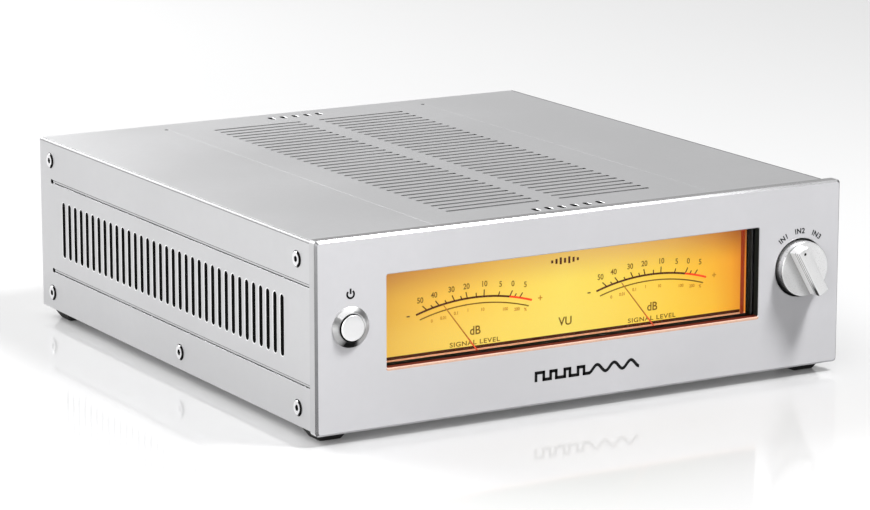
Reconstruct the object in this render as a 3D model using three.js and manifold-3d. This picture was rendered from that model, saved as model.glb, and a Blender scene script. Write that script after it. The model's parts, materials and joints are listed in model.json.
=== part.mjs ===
// Desktop digital-to-analogue converter with two needle meters, a push button
// and a three-position selector knob.  Millimetres, +Z up, -Y is the front.
// Origin: centre of the footprint (feet, knob and rear sockets included), on
// the surface that the feet stand on.
import * as THREE from 'three';
import { mergeVertices } from 'three/addons/utils/BufferGeometryUtils.js';
import Module from 'manifold-3d';

const wasm = await Module();
wasm.setup();

// ---------------------------------------------------------------- dimensions
const PANEL_W = 245.0;        // front panel width
const PANEL_H = 77.0;         // front panel height
const PANEL_T = 5.3;          // front panel thickness
const PANEL_CHAMFER = 0.95;   // chamfer round the panel's front edges
const BODY_HALF_W = 121.1;    // cover half width
const BODY_DEPTH = 258.1;     // panel face to the back of the covers
const TOP_STEP = 1.34;        // covers lie this much below the panel's top edge
const BOTTOM_STEP = 0.65;     // covers end this much above the panel's lower edge
const FOOT_H = 4.0;           // floor to the panel's lower edge
const KNOB_PROUD = 10.0;      // knob bar in front of the panel face
const REAR_PROUD = 8.0;       // sockets behind the covers' back edge

const YF = KNOB_PROUD - (KNOB_PROUD + BODY_DEPTH + REAR_PROUD) / 2;   // panel face
const YB = YF + BODY_DEPTH;                                          // back edge of covers
const Z0 = FOOT_H;                                                   // panel lower edge
const Z_TOP = Z0 + PANEL_H - TOP_STEP;                               // top of the covers
const Z_BOT = Z0 + BOTTOM_STEP;                                      // underside of the covers
const YC = YF + BODY_DEPTH / 2;                                      // middle of the body

const SIDE_T = 3.0;           // side panel thickness
const TOP_T = 2.0;            // top plate thickness
const PLATE_T = 2.0;          // bottom and rear plate thickness
const LIP = 1.1;              // side panel lip that frames the top plate
const GAP = 0.3;              // assembly gap between touching pieces

const VENT_COUNT = 35;
const VENT_PITCH = 6.0;
const VENT_MID_Y = YC + 3.4;
const TOP_SLOT_X = [[-47.5, -4.5], [5.0, 48.0]];
const TOP_SLOT_W = 1.8;
const SIDE_SLOT_W = 2.9;
const SIDE_SLOT_Z = [Z0 + 26.0, Z0 + 50.4];
const GROOVE_W = 1.4;
const GROOVE_DEPTH = 0.5;
const GROOVE_REAR_Y = YC + 117.0;
const TOP_GROOVE_X = 65.3;
const SIDE_GROOVE_Z = [Z0 + 58.0, Z0 + 18.3];

const WINDOW = { x0: -91.5, x1: 82.3, z0: Z0 + 23.8, z1: Z0 + 60.9 };
const BUTTON = { x: -107.35, z: Z0 + 42.05, travel: 1.5 };
const KNOB = { x: 102.6, z: Z0 + 42.2, restDeg: -30.0 };
const NEEDLE_Z = Z0 + 19.9;
const NEEDLES = [{ x: -42.98, restDeg: -37.48 }, { x: 40.18, restDeg: -38.71 }];
const NEEDLE_LEN = 30.0;

// Side screws: distance from the body's middle, height.
const SIDE_SCREWS = [[118.5, Z0 + 67], [118.5, Z0 + 8], [-111.3, Z0 + 67], [-111.3, Z0 + 8], [-7.9, Z0 + 8]];
const REAR_SCREWS = [[-112.8, 20], [-112.8, 62], [112.8, 20], [112.8, 62]];
const FOOT_X = 111.7;
const FOOT_Y = 115.8;
const FOOT_BOTTOM = 9.5;
const FOOT_TOP = 15.5;

const INLET = { x: 88.0, z: 40.0 };
const USB = { x: 46.0, z: 40.0 };
const OPTICAL = { x: 22.0, z: 40.0 };
const COAX = { x: 0.0, z: 40.0 };
const LINE_OUT = [{ x: -52.0, z: 40.0 }, { x: -74.0, z: 40.0 }];

// ------------------------------------------------------------------- helpers
const front = (depth) => YF + depth;      // y of a plane this far behind the panel face
const rear = (out) => YB + out;           // y of a plane this far behind the covers' back edge

function clean(geometry) {
  const g = geometry.clone();
  for (const name of Object.keys(g.attributes)) if (name !== 'position') g.deleteAttribute(name);
  g.clearGroups();
  const m = mergeVertices(g, 1e-4);
  const p = m.attributes.position.array;
  const src = m.index.array;
  const idx = [];
  for (let i = 0; i < src.length; i += 3) {
    const [a, b, c] = [src[i], src[i + 1], src[i + 2]];
    if (a !== b && b !== c && c !== a) idx.push(a, b, c);
  }
  let vol = 0;
  for (let i = 0; i < idx.length; i += 3) {
    const [a, b, c] = [idx[i] * 3, idx[i + 1] * 3, idx[i + 2] * 3];
    vol += p[a] * (p[b + 1] * p[c + 2] - p[b + 2] * p[c + 1])
      - p[a + 1] * (p[b] * p[c + 2] - p[b + 2] * p[c])
      + p[a + 2] * (p[b] * p[c + 1] - p[b + 1] * p[c]);
  }
  if (vol < 0) for (let i = 0; i < idx.length; i += 3) [idx[i + 1], idx[i + 2]] = [idx[i + 2], idx[i + 1]];
  m.setIndex(idx);
  return m;
}

function solid(geometry) {
  const m = clean(geometry);
  return new wasm.Manifold(new wasm.Mesh({
    numProp: 3,
    vertProperties: new Float32Array(m.attributes.position.array),
    triVerts: new Uint32Array(m.index.array),
  }));
}

function fromSolid(manifold) {
  const mesh = manifold.getMesh();
  const g = new THREE.BufferGeometry();
  const n = mesh.vertProperties.length / mesh.numProp;
  const pos = new Float32Array(n * 3);
  for (let i = 0; i < n; i++) for (let k = 0; k < 3; k++) pos[i * 3 + k] = mesh.vertProperties[i * mesh.numProp + k];
  g.setAttribute('position', new THREE.BufferAttribute(pos, 3));
  g.setIndex(Array.from(mesh.triVerts));
  return g;
}

const cut = (base, ...tools) => tools.reduce((s, t) => s.subtract(t), base);
const join = (first, ...rest) => rest.reduce((s, t) => s.add(t), first);

function box(x0, x1, y0, y1, z0, z1) {
  const g = new THREE.BoxGeometry(x1 - x0, y1 - y0, z1 - z0);
  g.translate((x0 + x1) / 2, (y0 + y1) / 2, (z0 + z1) / 2);
  return g;
}

function outline(points) {
  return points.map(([u, v]) => new THREE.Vector2(u, v));
}

// A flat outline in (x, z), pushed along +Y from y0 to y1.
function pushY(points, holes, y0, y1) {
  const s = new THREE.Shape(outline(points));
  for (const h of holes) s.holes.push(new THREE.Path(outline(h)));
  const g = new THREE.ExtrudeGeometry(s, { depth: y1 - y0, bevelEnabled: false, curveSegments: 8 });
  g.rotateX(Math.PI / 2);
  g.translate(0, y1, 0);
  return g;
}

// A flat outline in (y, z), pushed along +X from x0 to x1.
function pushX(points, holes, x0, x1) {
  const s = new THREE.Shape(outline(points));
  for (const h of holes) s.holes.push(new THREE.Path(outline(h)));
  const g = new THREE.ExtrudeGeometry(s, { depth: x1 - x0, bevelEnabled: false, curveSegments: 8 });
  g.rotateX(Math.PI / 2);
  g.rotateZ(Math.PI / 2);
  g.translate(x0, 0, 0);
  return g;
}

// A flat outline in (x, y), pushed along +Z from z0 to z1.
function pushZ(points, holes, z0, z1) {
  const s = new THREE.Shape(outline(points));
  for (const h of holes) s.holes.push(new THREE.Path(outline(h)));
  const g = new THREE.ExtrudeGeometry(s, { depth: z1 - z0, bevelEnabled: false, curveSegments: 8 });
  g.translate(0, 0, z0);
  return g;
}

// A turned piece about the Y axis: [radius, y] points.
function turned(profile, segments = 24) {
  return new THREE.LatheGeometry(outline(profile), segments);
}

const rect = (u0, u1, v0, v1) => [[u0, v0], [u1, v0], [u1, v1], [u0, v1]];

function roundRect(u0, u1, v0, v1, r, steps = 3) {
  const pts = [];
  const corners = [[u1 - r, v0 + r, -90], [u1 - r, v1 - r, 0], [u0 + r, v1 - r, 90], [u0 + r, v0 + r, 180]];
  for (const [cu, cv, a0] of corners) {
    for (let i = 0; i <= steps; i++) {
      const a = THREE.MathUtils.degToRad(a0 + (90 * i) / steps);
      pts.push([cu + r * Math.cos(a), cv + r * Math.sin(a)]);
    }
  }
  return pts;
}

// A slot with pointed ends, running along v.
function slotV(u, v0, v1, w) {
  const r = w / 2;
  return [[u - r, v0 + 0.7 * r], [u, v0], [u + r, v0 + 0.7 * r], [u + r, v1 - 0.7 * r], [u, v1], [u - r, v1 - 0.7 * r]];
}

function circle(cu, cv, r, n = 24) {
  const pts = [];
  for (let i = 0; i < n; i++) {
    const a = ((i + 0.5) / n) * 2 * Math.PI;
    pts.push([cu + r * Math.cos(a), cv + r * Math.sin(a)]);
  }
  return pts;
}

// Stacked sections with the same number of points: [[points, y], ...] in (x, z).
function loftY(sections) {
  const n = sections[0][0].length;
  const pos = [];
  for (const [pts, y] of sections) for (const [u, v] of pts) pos.push(u, y, v);
  const idx = [];
  for (let s = 0; s + 1 < sections.length; s++) {
    for (let i = 0; i < n; i++) {
      const a = s * n + i;
      const b = s * n + ((i + 1) % n);
      idx.push(a, b, b + n, a, b + n, a + n);
    }
  }
  const last = (sections.length - 1) * n;
  for (let i = 1; i + 1 < n; i++) {
    idx.push(0, i + 1, i);
    idx.push(last, last + i, last + i + 1);
  }
  const g = new THREE.BufferGeometry();
  g.setAttribute('position', new THREE.BufferAttribute(new Float32Array(pos), 3));
  g.setIndex(idx);
  return g;
}

const group = new THREE.Group();
const sub = () => { const g = new THREE.Group(); group.add(g); return g; };
const shell = sub();
const display = sub();
const controls = sub();
const inside = sub();
const sockets = sub();

const finish = {
  silver: { color: 0xd2d2d4, roughness: 0.42, metalness: 0.9 },
  silverDark: { color: 0xb9b9bc, roughness: 0.45, metalness: 0.9 },
  black: { color: 0x141414, roughness: 0.55, metalness: 0.0 },
  rubber: { color: 0x0c0c0c, roughness: 0.85, metalness: 0.0 },
  steel: { color: 0xa9a9ab, roughness: 0.35, metalness: 1.0 },
  chrome: { color: 0xe6e6e8, roughness: 0.08, metalness: 1.0 },
  glass: { color: 0xf4f6f8, roughness: 0.03, metalness: 0.0 },
  amber: { color: 0xf6b431, roughness: 0.6, metalness: 0.0 },
  needle: { color: 0xd84a10, roughness: 0.5, metalness: 0.0 },
  board: { color: 0x1d4a2c, roughness: 0.6, metalness: 0.0 },
  brass: { color: 0xc9a24a, roughness: 0.3, metalness: 1.0 },
  copper: { color: 0x3a3a40, roughness: 0.6, metalness: 0.0 },
};

function add(parent, name, geometry, look, place = [0, 0, 0], turn = [0, 0, 0]) {
  const mesh = new THREE.Mesh(clean(geometry), new THREE.MeshStandardMaterial(finish[look]));
  mesh.name = name;
  mesh.position.set(...place);
  mesh.rotation.set(...turn);
  parent.add(mesh);
  return mesh;
}

// --------------------------------------------------------------- front panel
{
  const c = PANEL_CHAMFER;
  const full = roundRect(-PANEL_W / 2, PANEL_W / 2, Z0, Z0 + PANEL_H, 1.6);
  const inset = roundRect(-PANEL_W / 2 + c, PANEL_W / 2 - c, Z0 + c, Z0 + PANEL_H - c, 1.0);
  const plate = solid(loftY([[inset, front(0)], [full, front(c)], [full, front(PANEL_T)]]));
  const win = solid(pushY(roundRect(WINDOW.x0, WINDOW.x1, WINDOW.z0, WINDOW.z1, 0.8, 2), [], front(-1), front(PANEL_T + 1)));
  const rebate = solid(box(WINDOW.x0 - 3, WINDOW.x1 + 3, front(3.5), front(PANEL_T + 1), WINDOW.z0 - 3, WINDOW.z1 + 3));
  const hole = solid(pushY(circle(BUTTON.x, BUTTON.z, 7.4, 24), [], front(-1), front(PANEL_T + 1)));
  const recess = solid(pushY(circle(KNOB.x, KNOB.z, 12.2, 28), [], front(-1), front(2.8)));
  const bush = solid(pushY(circle(KNOB.x, KNOB.z, 5.3, 20), [], front(-1), front(PANEL_T + 1)));
  add(shell, 'front_panel', fromSolid(cut(plate, win, rebate, hole, recess, bush)), 'silver');
}

// ---------------------------------------------------------------- top cover
{
  const x = BODY_HALF_W - LIP - GAP;
  const y0 = front(PANEL_T + 0.1);
  const holes = [];
  for (let i = 0; i < VENT_COUNT; i++) {
    const y = VENT_MID_Y + (i - (VENT_COUNT - 1) / 2) * VENT_PITCH;
    for (const [a, b] of TOP_SLOT_X) {
      holes.push(rect(a, b, y - TOP_SLOT_W / 2, y + TOP_SLOT_W / 2));
    }
  }
  // short rows of slots, one behind the front panel and one at the rear
  for (let i = 0; i < 6; i++) holes.push(slotV(-15 + i * 6, YC - 116, YC - 111, 2.4));
  for (let i = 0; i < 5; i++) holes.push(slotV(-12 + i * 6, YC + 116.5, YC + 121.5, 2.4));
  const sheet = solid(box(-x, x, y0, YB, Z_TOP - TOP_T, Z_TOP));
  const plate = cut(sheet, ...holes.map((h) => solid(pushZ(h, [], Z_TOP - TOP_T - 1, Z_TOP + 1))));
  const grooves = [];
  for (const s of [-1, 1]) {
    grooves.push(solid(box(s * TOP_GROOVE_X - GROOVE_W / 2, s * TOP_GROOVE_X + GROOVE_W / 2, y0 - 1, GROOVE_REAR_Y, Z_TOP - GROOVE_DEPTH, Z_TOP + 1)));
    grooves.push(solid(pushZ(circle(s * TOP_GROOVE_X, GROOVE_REAR_Y, 1.1, 12), [], Z_TOP - TOP_T - 1, Z_TOP + 1)));
  }
  add(shell, 'top_cover', fromSolid(cut(plate, ...grooves)), 'silver');
}

// -------------------------------------------------------------- side panels
function sidePanel() {
  // outer face on +X; the left one is the mirror image
  const y0 = front(PANEL_T + 0.1);
  const holes = [];
  for (let i = 0; i < VENT_COUNT; i++) {
    const y = VENT_MID_Y + (i - (VENT_COUNT - 1) / 2) * VENT_PITCH;
    holes.push(slotV(y, SIDE_SLOT_Z[0], SIDE_SLOT_Z[1], SIDE_SLOT_W));
  }
  const r = 0.45;
  const sheet = solid(box(BODY_HALF_W - SIDE_T, BODY_HALF_W, y0, YB, Z_BOT, Z_TOP));
  const plate = cut(sheet, ...holes.map((h) => solid(pushX(h, [], BODY_HALF_W - SIDE_T - 1, BODY_HALF_W + 1))));
  const rebate = solid(box(BODY_HALF_W - SIDE_T - 1, BODY_HALF_W - LIP, y0 - 1, YB + 1, Z_TOP - TOP_T - GAP, Z_TOP + 1));
  const edge = solid(pushY([[BODY_HALF_W - 2 * r, Z_TOP + r], [BODY_HALF_W + r, Z_TOP - 2 * r], [BODY_HALF_W + r, Z_TOP + r]], [], y0 - 1, YB + 1));
  const tools = [rebate, edge];
  for (const z of SIDE_GROOVE_Z) {
    tools.push(solid(box(BODY_HALF_W - GROOVE_DEPTH, BODY_HALF_W + 1, y0 - 1, GROOVE_REAR_Y, z - GROOVE_W / 2, z + GROOVE_W / 2)));
    tools.push(solid(pushX(circle(GROOVE_REAR_Y, z, 1.1, 12), [], BODY_HALF_W - SIDE_T - 1, BODY_HALF_W + 1)));
  }
  for (const [y, z] of SIDE_SCREWS) {
    const sink = turned([[0, -5], [1.8, -5], [1.8, -2.0], [3.35, -0.45], [3.35, 1], [0, 1]], 10);
    sink.rotateZ(-Math.PI / 2);
    sink.translate(BODY_HALF_W, YC + y, z);
    tools.push(solid(sink));
  }
  return fromSolid(cut(plate, ...tools));
}
{
  const right = sidePanel();
  const left = right.clone();
  left.scale(-1, 1, 1);
  add(shell, 'right_side_panel', right, 'silver');
  add(shell, 'left_side_panel', left, 'silver');
}

// -------------------------------------------------------- bottom, rear plates
{
  const x = BODY_HALF_W - SIDE_T - GAP;
  const base = solid(box(-x, x, front(PANEL_T + GAP), YB - 0.3, Z_BOT, Z_BOT + PLATE_T));
  const flange = (s) => solid(box(s > 0 ? x - 2 : -x, s > 0 ? x : -x + 2, YC - 104, YC + 108, Z_BOT + 1, 20));
  const tools = [];
  for (const sx of [-1, 1]) {
    for (const sy of [-1, 1]) tools.push(solid(pushZ(circle(sx * FOOT_X, YC + sy * FOOT_Y, 1.9, 12), [], Z_BOT - 1, Z_BOT + PLATE_T + 1)));
    tools.push(solid(pushX(circle(YC - 7.9, Z0 + 8, 1.9, 12), [], sx > 0 ? x - 3 : -x - 1, sx > 0 ? x + 1 : -x + 3)));
  }
  // intake slots under the board
  for (let i = 0; i < 9; i++) tools.push(solid(pushZ(slotV(-24 + i * 6, YC - 30, YC + 20, 2.4), [], Z_BOT - 1, Z_BOT + PLATE_T + 1)));
  add(shell, 'bottom_plate', fromSolid(cut(join(base, flange(-1), flange(1)), ...tools)), 'silverDark');

  const holes = [];
  holes.push(rect(INLET.x - 13.9, INLET.x + 13.9, INLET.z - 10.3, INLET.z + 10.3));
  holes.push(rect(USB.x - 6.4, USB.x + 6.4, USB.z - 5.8, USB.z + 5.8));
  holes.push(rect(OPTICAL.x - 7.1, OPTICAL.x + 7.1, OPTICAL.z - 5.8, OPTICAL.z + 5.8));
  for (const j of [COAX, ...LINE_OUT]) holes.push(circle(j.x, j.z, 4.9, 20));
  for (const [px, pz] of REAR_SCREWS) holes.push(circle(px, pz, 1.8, 12));
  const sheet = solid(box(-x, x, rear(-3), rear(-1), Z_BOT + PLATE_T + GAP, Z_TOP - TOP_T - GAP));
  add(shell, 'rear_panel', fromSolid(cut(sheet, ...holes.map((h) => solid(pushY(h, [], rear(-4), rear(0)))))), 'silverDark');
}

// -------------------------------------------------------------- corner posts
function frontPost(s) {
  const xo = BODY_HALF_W - SIDE_T - GAP;
  const z0 = Z_BOT + PLATE_T + GAP;
  const z1 = Z_TOP - TOP_T - GAP;
  const pts = [[xo, z0], [xo, z1], [xo - 10, z1], [xo - 10, 63], [xo - 2.5, 63], [xo - 2.5, 20], [xo - 10, 20], [xo - 10, z0]].map(([u, v]) => [s * u, v]);
  const post = solid(pushY(pts, [], front(PANEL_T + GAP), YC - 105.5));
  const tools = [];
  for (const [y, z] of SIDE_SCREWS.slice(2, 4)) tools.push(solid(pushX(circle(YC + y, z, 1.8, 10), [], s > 0 ? xo - 8 : -xo - 1, s > 0 ? xo + 1 : -xo + 8)));
  tools.push(solid(pushZ(circle(s * FOOT_X, YC - FOOT_Y, 1.8, 10), [], z0 - 1, 9.7)));
  return fromSolid(cut(post, ...tools));
}
function rearPost(s) {
  const xo = BODY_HALF_W - SIDE_T - GAP;
  const z0 = Z_BOT + PLATE_T + GAP;
  const z1 = Z_TOP - TOP_T - GAP;
  const post = solid(box(s > 0 ? xo - 10 : -xo, s > 0 ? xo : -xo + 10, YC + 113.0, rear(-3.3), z0, z1));
  const tools = [];
  for (const [y, z] of SIDE_SCREWS.slice(0, 2)) tools.push(solid(pushX(circle(YC + y, z, 1.8, 10), [], s > 0 ? xo - 8 : -xo - 1, s > 0 ? xo + 1 : -xo + 8)));
  for (const [x, z] of REAR_SCREWS.filter(([x]) => x * s > 0)) tools.push(solid(pushY(circle(x, z, 1.8, 10), [], rear(-11), rear(0))));
  tools.push(solid(pushZ(circle(s * FOOT_X, YC + FOOT_Y, 1.8, 10), [], z0 - 1, 9.7)));
  return fromSolid(cut(post, ...tools));
}
add(shell, 'post_front_left', frontPost(-1), 'silverDark');
add(shell, 'post_front_right', frontPost(1), 'silverDark');
add(shell, 'post_rear_left', rearPost(-1), 'silverDark');
add(shell, 'post_rear_right', rearPost(1), 'silverDark');

// ---------------------------------------------------------- feet and screws
function foot() {
  const a = FOOT_BOTTOM / 2;
  const b = FOOT_TOP / 2;
  const h = Z_BOT - 0.1;
  const g = loftY([[roundRect(-a, a, -a, a, 1.0, 1), 0], [roundRect(-b, b, -b, b, 1.6, 1), h]]);
  // the stack runs along Y; stand it up along Z
  g.rotateX(Math.PI / 2);
  const bore = solid(pushZ(circle(0, 0, 3.3, 10), [], -1, 2.6));
  const shank = solid(pushZ(circle(0, 0, 1.9, 8), [], -1, h + 1));
  return fromSolid(cut(solid(g), bore, shank));
}
const footGeometry = foot();
const footScrew = turned([[0, 0.6], [2.6, 0.6], [2.9, 0.9], [2.9, 2.3], [1.5, 2.3], [1.5, 9.2], [0, 9.2]], 8);
footScrew.rotateX(Math.PI / 2);
for (const [tag, sx, sy] of [['front_left', -1, -1], ['front_right', 1, -1], ['rear_left', -1, 1], ['rear_right', 1, 1]]) {
  add(shell, `foot_${tag}`, footGeometry, 'rubber', [sx * FOOT_X, YC + sy * FOOT_Y, 0]);
  add(shell, `foot_screw_${tag}`, footScrew, 'steel', [sx * FOOT_X, YC + sy * FOOT_Y, 0]);
}

// Raised-head screw with a hexagon socket, seated in the panel's sink, pointing along -X from x = 0.
function sunkScrew(length) {
  const g = turned([[0, -length], [1.5, -length], [1.5, -1.95], [3.0, -0.55], [3.0, 0.35], [2.8, 0.55], [0, 0.55]], 10);
  g.rotateZ(-Math.PI / 2);
  const hex = pushX(circle(0, 0, 1.2, 6), [], -1.5, 1);
  return fromSolid(cut(solid(g), solid(hex)));
}
const sideScrew = sunkScrew(9.5);
const midScrew = sunkScrew(6.5);
SIDE_SCREWS.forEach(([y, z], i) => {
  const g = i === 4 ? midScrew : sideScrew;
  add(shell, `side_screw_left_${i + 1}`, g, 'steel', [-BODY_HALF_W, YC + y, z], [0, 0, Math.PI]);
  add(shell, `side_screw_right_${i + 1}`, g, 'steel', [BODY_HALF_W, YC + y, z]);
});

// Button-head screw for the rear plate, pointing along -Y from the plate's face.
{
  const g = turned([[0, -8], [1.5, -8], [1.5, 0.1], [2.9, 0.1], [2.7, 0.9], [1.8, 1.5], [0, 1.5]], 8);
  const hex = pushY(circle(0, 0, 1.1, 6), [], 0.6, 3);
  const geometry = fromSolid(cut(solid(g), solid(hex)));
  REAR_SCREWS.forEach(([x, z], i) => add(shell, `rear_screw_${i + 1}`, geometry, 'steel', [x, rear(-1), z]));
}

// -------------------------------------------------------------- meter display
{
  const w = WINDOW;
  add(display, 'meter_window', box(w.x0 - 2.7, w.x1 + 2.7, front(3.6), front(5.3), w.z0 - 2.7, w.z1 + 2.7), 'glass');

  const body = solid(box(w.x0 - 4.5, w.x1 + 4.5, front(5.6), front(27), 11.5, 70.0));
  const win = solid(pushY(roundRect(w.x0, w.x1, w.z0, w.z1, 0.8, 2), [], front(5), front(9)));
  const cavity = solid(box(w.x0 - 2.5, w.x1 + 2.5, front(8.4), front(28), 13.5, 68.0));
  add(display, 'meter_housing', fromSolid(cut(body, win, cavity)), 'black');

  const holes = NEEDLES.map((n) => circle(n.x, NEEDLE_Z, 1.3, 12));
  add(display, 'dial_plate', pushY(rect(w.x0 - 2.2, w.x1 + 2.2, 13.8, 67.7), holes, front(10.9), front(11.9)), 'amber');
  add(display, 'backlight_board', box(w.x0 - 2.2, w.x1 + 2.2, front(24.5), front(26.1), 13.8, 67.7), 'board');

  NEEDLES.forEach((n, i) => {
    const tag = i === 0 ? 'left' : 'right';
    const coil = turned([[0, front(22)], [9, front(22)], [9, front(12.3)], [1.2, front(12.3)], [1.2, front(15.5)], [0, front(15.5)]], 12);
    add(display, `meter_movement_${tag}`, coil, 'black', [n.x, 0, NEEDLE_Z]);

    const blade = solid(pushY([[-0.32, -5], [0.32, -5], [0.32, 0], [0.18, NEEDLE_LEN], [-0.18, NEEDLE_LEN], [-0.32, 0]], [], front(9.15), front(9.55)));
    const hub = solid(turned([[0, front(8.9)], [2.2, front(8.9)], [2.2, front(9.9)], [0.8, front(9.9)], [0.8, front(15.0)], [0, front(15.0)]], 12));
    const weight = solid(box(-1.6, 1.6, front(8.95), front(9.85), -7.3, -1));
    add(display, `needle_${tag}`, fromSolid(join(blade, hub, weight)), 'needle', [n.x, 0, NEEDLE_Z], [0, THREE.MathUtils.degToRad(n.restDeg), 0]);
  });
}

// ------------------------------------------------------------------ controls
{
  // bezel ring of the power button
  const ring = turned([[8.1, front(-0.05)], [7.2, front(-0.75)], [6.2, front(-1.35)], [5.75, front(-1.5)], [5.5, front(-1.3)],
    [5.5, front(6.5)], [7.0, front(6.5)], [7.0, front(-0.05)], [8.1, front(-0.05)]], 20);
  add(controls, 'power_button_bezel', ring, 'chrome', [BUTTON.x, 0, BUTTON.z]);

  const cap = turned([[0, front(-2.3)], [4.6, front(-2.3)], [5.05, front(-2.1)], [5.2, front(-1.7)], [5.2, front(4)], [2, front(4)], [2, front(14)], [0, front(14)]], 20);
  add(controls, 'power_button', cap, 'silver', [BUTTON.x, 0, BUTTON.z]);

  const block = solid(box(-6.5, 6.5, front(9), front(24), -6.5, 6.5));
  const guide = solid(pushY(circle(0, 0, 2.4, 16), [], front(8), front(16)));
  add(controls, 'power_switch', fromSolid(cut(block, guide)), 'black', [BUTTON.x, 0, BUTTON.z]);

  // selector: skirt, raised grip bar, blind bore for the shaft
  const disc = solid(turned([[0, front(1.2)], [11.4, front(1.2)], [11.4, front(-3.3)], [11.0, front(-3.7)], [0, front(-3.7)]], 32));
  const blank = solid(turned([[0, front(-3.2)], [11.0, front(-3.2)], [11.0, front(-9.6)], [10.6, front(-KNOB_PROUD)], [0, front(-KNOB_PROUD)]], 32));
  const barSection = [[-2.7, -3.1], [2.7, -3.1], [2.45, -9.7], [2.15, -KNOB_PROUD - 0.5], [-2.15, -KNOB_PROUD - 0.5], [-2.45, -9.7]].map(([u, d]) => [u, front(d)]);
  const bar = solid(pushZ(barSection, [], -14, 14)).intersect(blank);
  const bore = solid(pushY(circle(0, 0, 3.3, 20), [], front(-2.9), front(2)));
  const turn = [0, THREE.MathUtils.degToRad(KNOB.restDeg), 0];
  add(controls, 'selector_knob', fromSolid(cut(join(disc, bar), bore)), 'silver', [KNOB.x, 0, KNOB.z], turn);
  add(controls, 'selector_shaft', turned([[0, front(-2.6)], [2.7, front(-2.6)], [3.0, front(-2.3)], [3.0, front(18.5)], [0, front(18.5)]], 20), 'steel', [KNOB.x, 0, KNOB.z], turn);
  add(controls, 'rotary_switch', turned([[3.3, front(1.7)], [4.9, front(1.7)], [4.9, front(5.7)], [12, front(5.7)], [12, front(19)], [3.3, front(19)], [3.3, front(1.7)]], 16), 'black', [KNOB.x, 0, KNOB.z]);
  add(controls, 'selector_gasket', turned([[5.3, front(1.7)], [11.9, front(1.7)], [11.9, front(2.6)], [5.3, front(2.6)], [5.3, front(1.7)]], 20), 'rubber', [KNOB.x, 0, KNOB.z]);
}

// ------------------------------------------------------------- inner pieces
{
  add(inside, 'main_board', box(-34, 112, YC - 80, YC + 108, 14, 15.6), 'board');
  const tube = [[0, 16.2], [11, 16.2], [11, 24], [9.4, 24.3], [9.4, 58], [7.5, 63], [0, 66]];
  for (const [tag, x] of [['left', 10], ['right', 44]]) {
    const g = turned(tube, 12);
    g.rotateX(Math.PI / 2);
    add(inside, `tube_${tag}`, g, 'glass', [x, YC - 30, 0]);
  }
  const core = turned([[12, 7], [34, 7], [37, 10], [37, 38], [34, 41], [12, 41], [12, 7]], 18);
  core.rotateX(Math.PI / 2);
  add(inside, 'transformer', core, 'copper', [-74, YC + 40, 0]);
  for (const [tag, x] of [['left', -18], ['right', 10]]) {
    const g = turned([[0, 16.2], [11, 16.2], [11, 51], [0, 51]], 12);
    g.rotateX(Math.PI / 2);
    add(inside, `capacitor_${tag}`, g, 'black', [x, YC + 50, 0]);
  }
}

// -------------------------------------------------------------- rear sockets
{
  const phono = turned([[0, rear(-15)], [5.4, rear(-15)], [5.4, rear(-3.2)], [4.6, rear(-3.2)], [4.6, rear(-0.9)], [6.2, rear(-0.9)], [6.2, rear(0.6)],
    [4.15, rear(0.6)], [4.15, rear(REAR_PROUD)], [3.5, rear(REAR_PROUD)], [3.5, rear(REAR_PROUD - 1.2)], [1.6, rear(REAR_PROUD - 1.2)], [1.6, rear(-3)], [0, rear(-3)]], 16);
  add(sockets, 'coax_jack', phono, 'brass', [COAX.x, 0, COAX.z]);
  add(sockets, 'line_out_left', phono, 'brass', [LINE_OUT[0].x, 0, LINE_OUT[0].z]);
  add(sockets, 'line_out_right', phono, 'brass', [LINE_OUT[1].x, 0, LINE_OUT[1].z]);

  // square data socket: chamfered opening round a tongue
  {
    const shellBox = solid(box(-6.05, 6.05, rear(-16), rear(0.3), -5.45, 5.45));
    const hollow = solid(pushY([[-4.25, -3.9], [4.25, -3.9], [4.25, 2.4], [2.75, 3.9], [-2.75, 3.9], [-4.25, 2.4]], [], rear(-8.6), rear(1)));
    const tongue = solid(box(-2.8, 2.8, rear(-9), rear(-1.2), -1.6, 1.6));
    add(sockets, 'usb_socket', fromSolid(join(cut(shellBox, hollow), tongue)), 'steel', [USB.x, 0, USB.z]);
  }
  // optical socket: chamfered square opening with a fibre boss at its end
  {
    const block = solid(box(-6.8, 6.8, rear(-13), rear(0.3), -5.4, 5.4));
    const hollow = solid(pushY([[-3.3, -3.3], [3.3, -3.3], [3.3, 1.9], [1.9, 3.3], [-1.9, 3.3], [-3.3, 1.9]], [], rear(-8.6), rear(1)));
    const boss = solid(turned([[0, rear(-9)], [1.6, rear(-9)], [1.6, rear(-5.6)], [0, rear(-5.6)]], 12));
    add(sockets, 'optical_socket', fromSolid(join(cut(block, hollow), boss)), 'black', [OPTICAL.x, 0, OPTICAL.z]);
  }
  // mains inlet: flange, recess with three blades
  {
    const flange = solid(pushY(roundRect(-16, 16, -12.5, 12.5, 2, 2), [], rear(-0.9), rear(1.6)));
    const body = solid(box(-13.5, 13.5, rear(-22), rear(0), -9.9, 9.9));
    const hollow = solid(pushY([[-12.2, -8.4], [12.2, -8.4], [12.2, 3.9], [7.7, 8.4], [-7.7, 8.4], [-12.2, 3.9]], [], rear(-15), rear(3)));
    const blades = [[-7, -2], [7, -2], [0, 2]].map(([x, z]) => solid(box(x - 1, x + 1, rear(-16), rear(-4.2), z - 2, z + 2)));
    add(sockets, 'mains_inlet', fromSolid(join(cut(join(flange, body), hollow), ...blades)), 'black', [INLET.x, 0, INLET.z]);
  }
}

export default group;
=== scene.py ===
import json
import math
import bpy
import bmesh
from mathutils import Vector, Matrix
from mathutils.geometry import delaunay_2d_cdt

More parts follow.
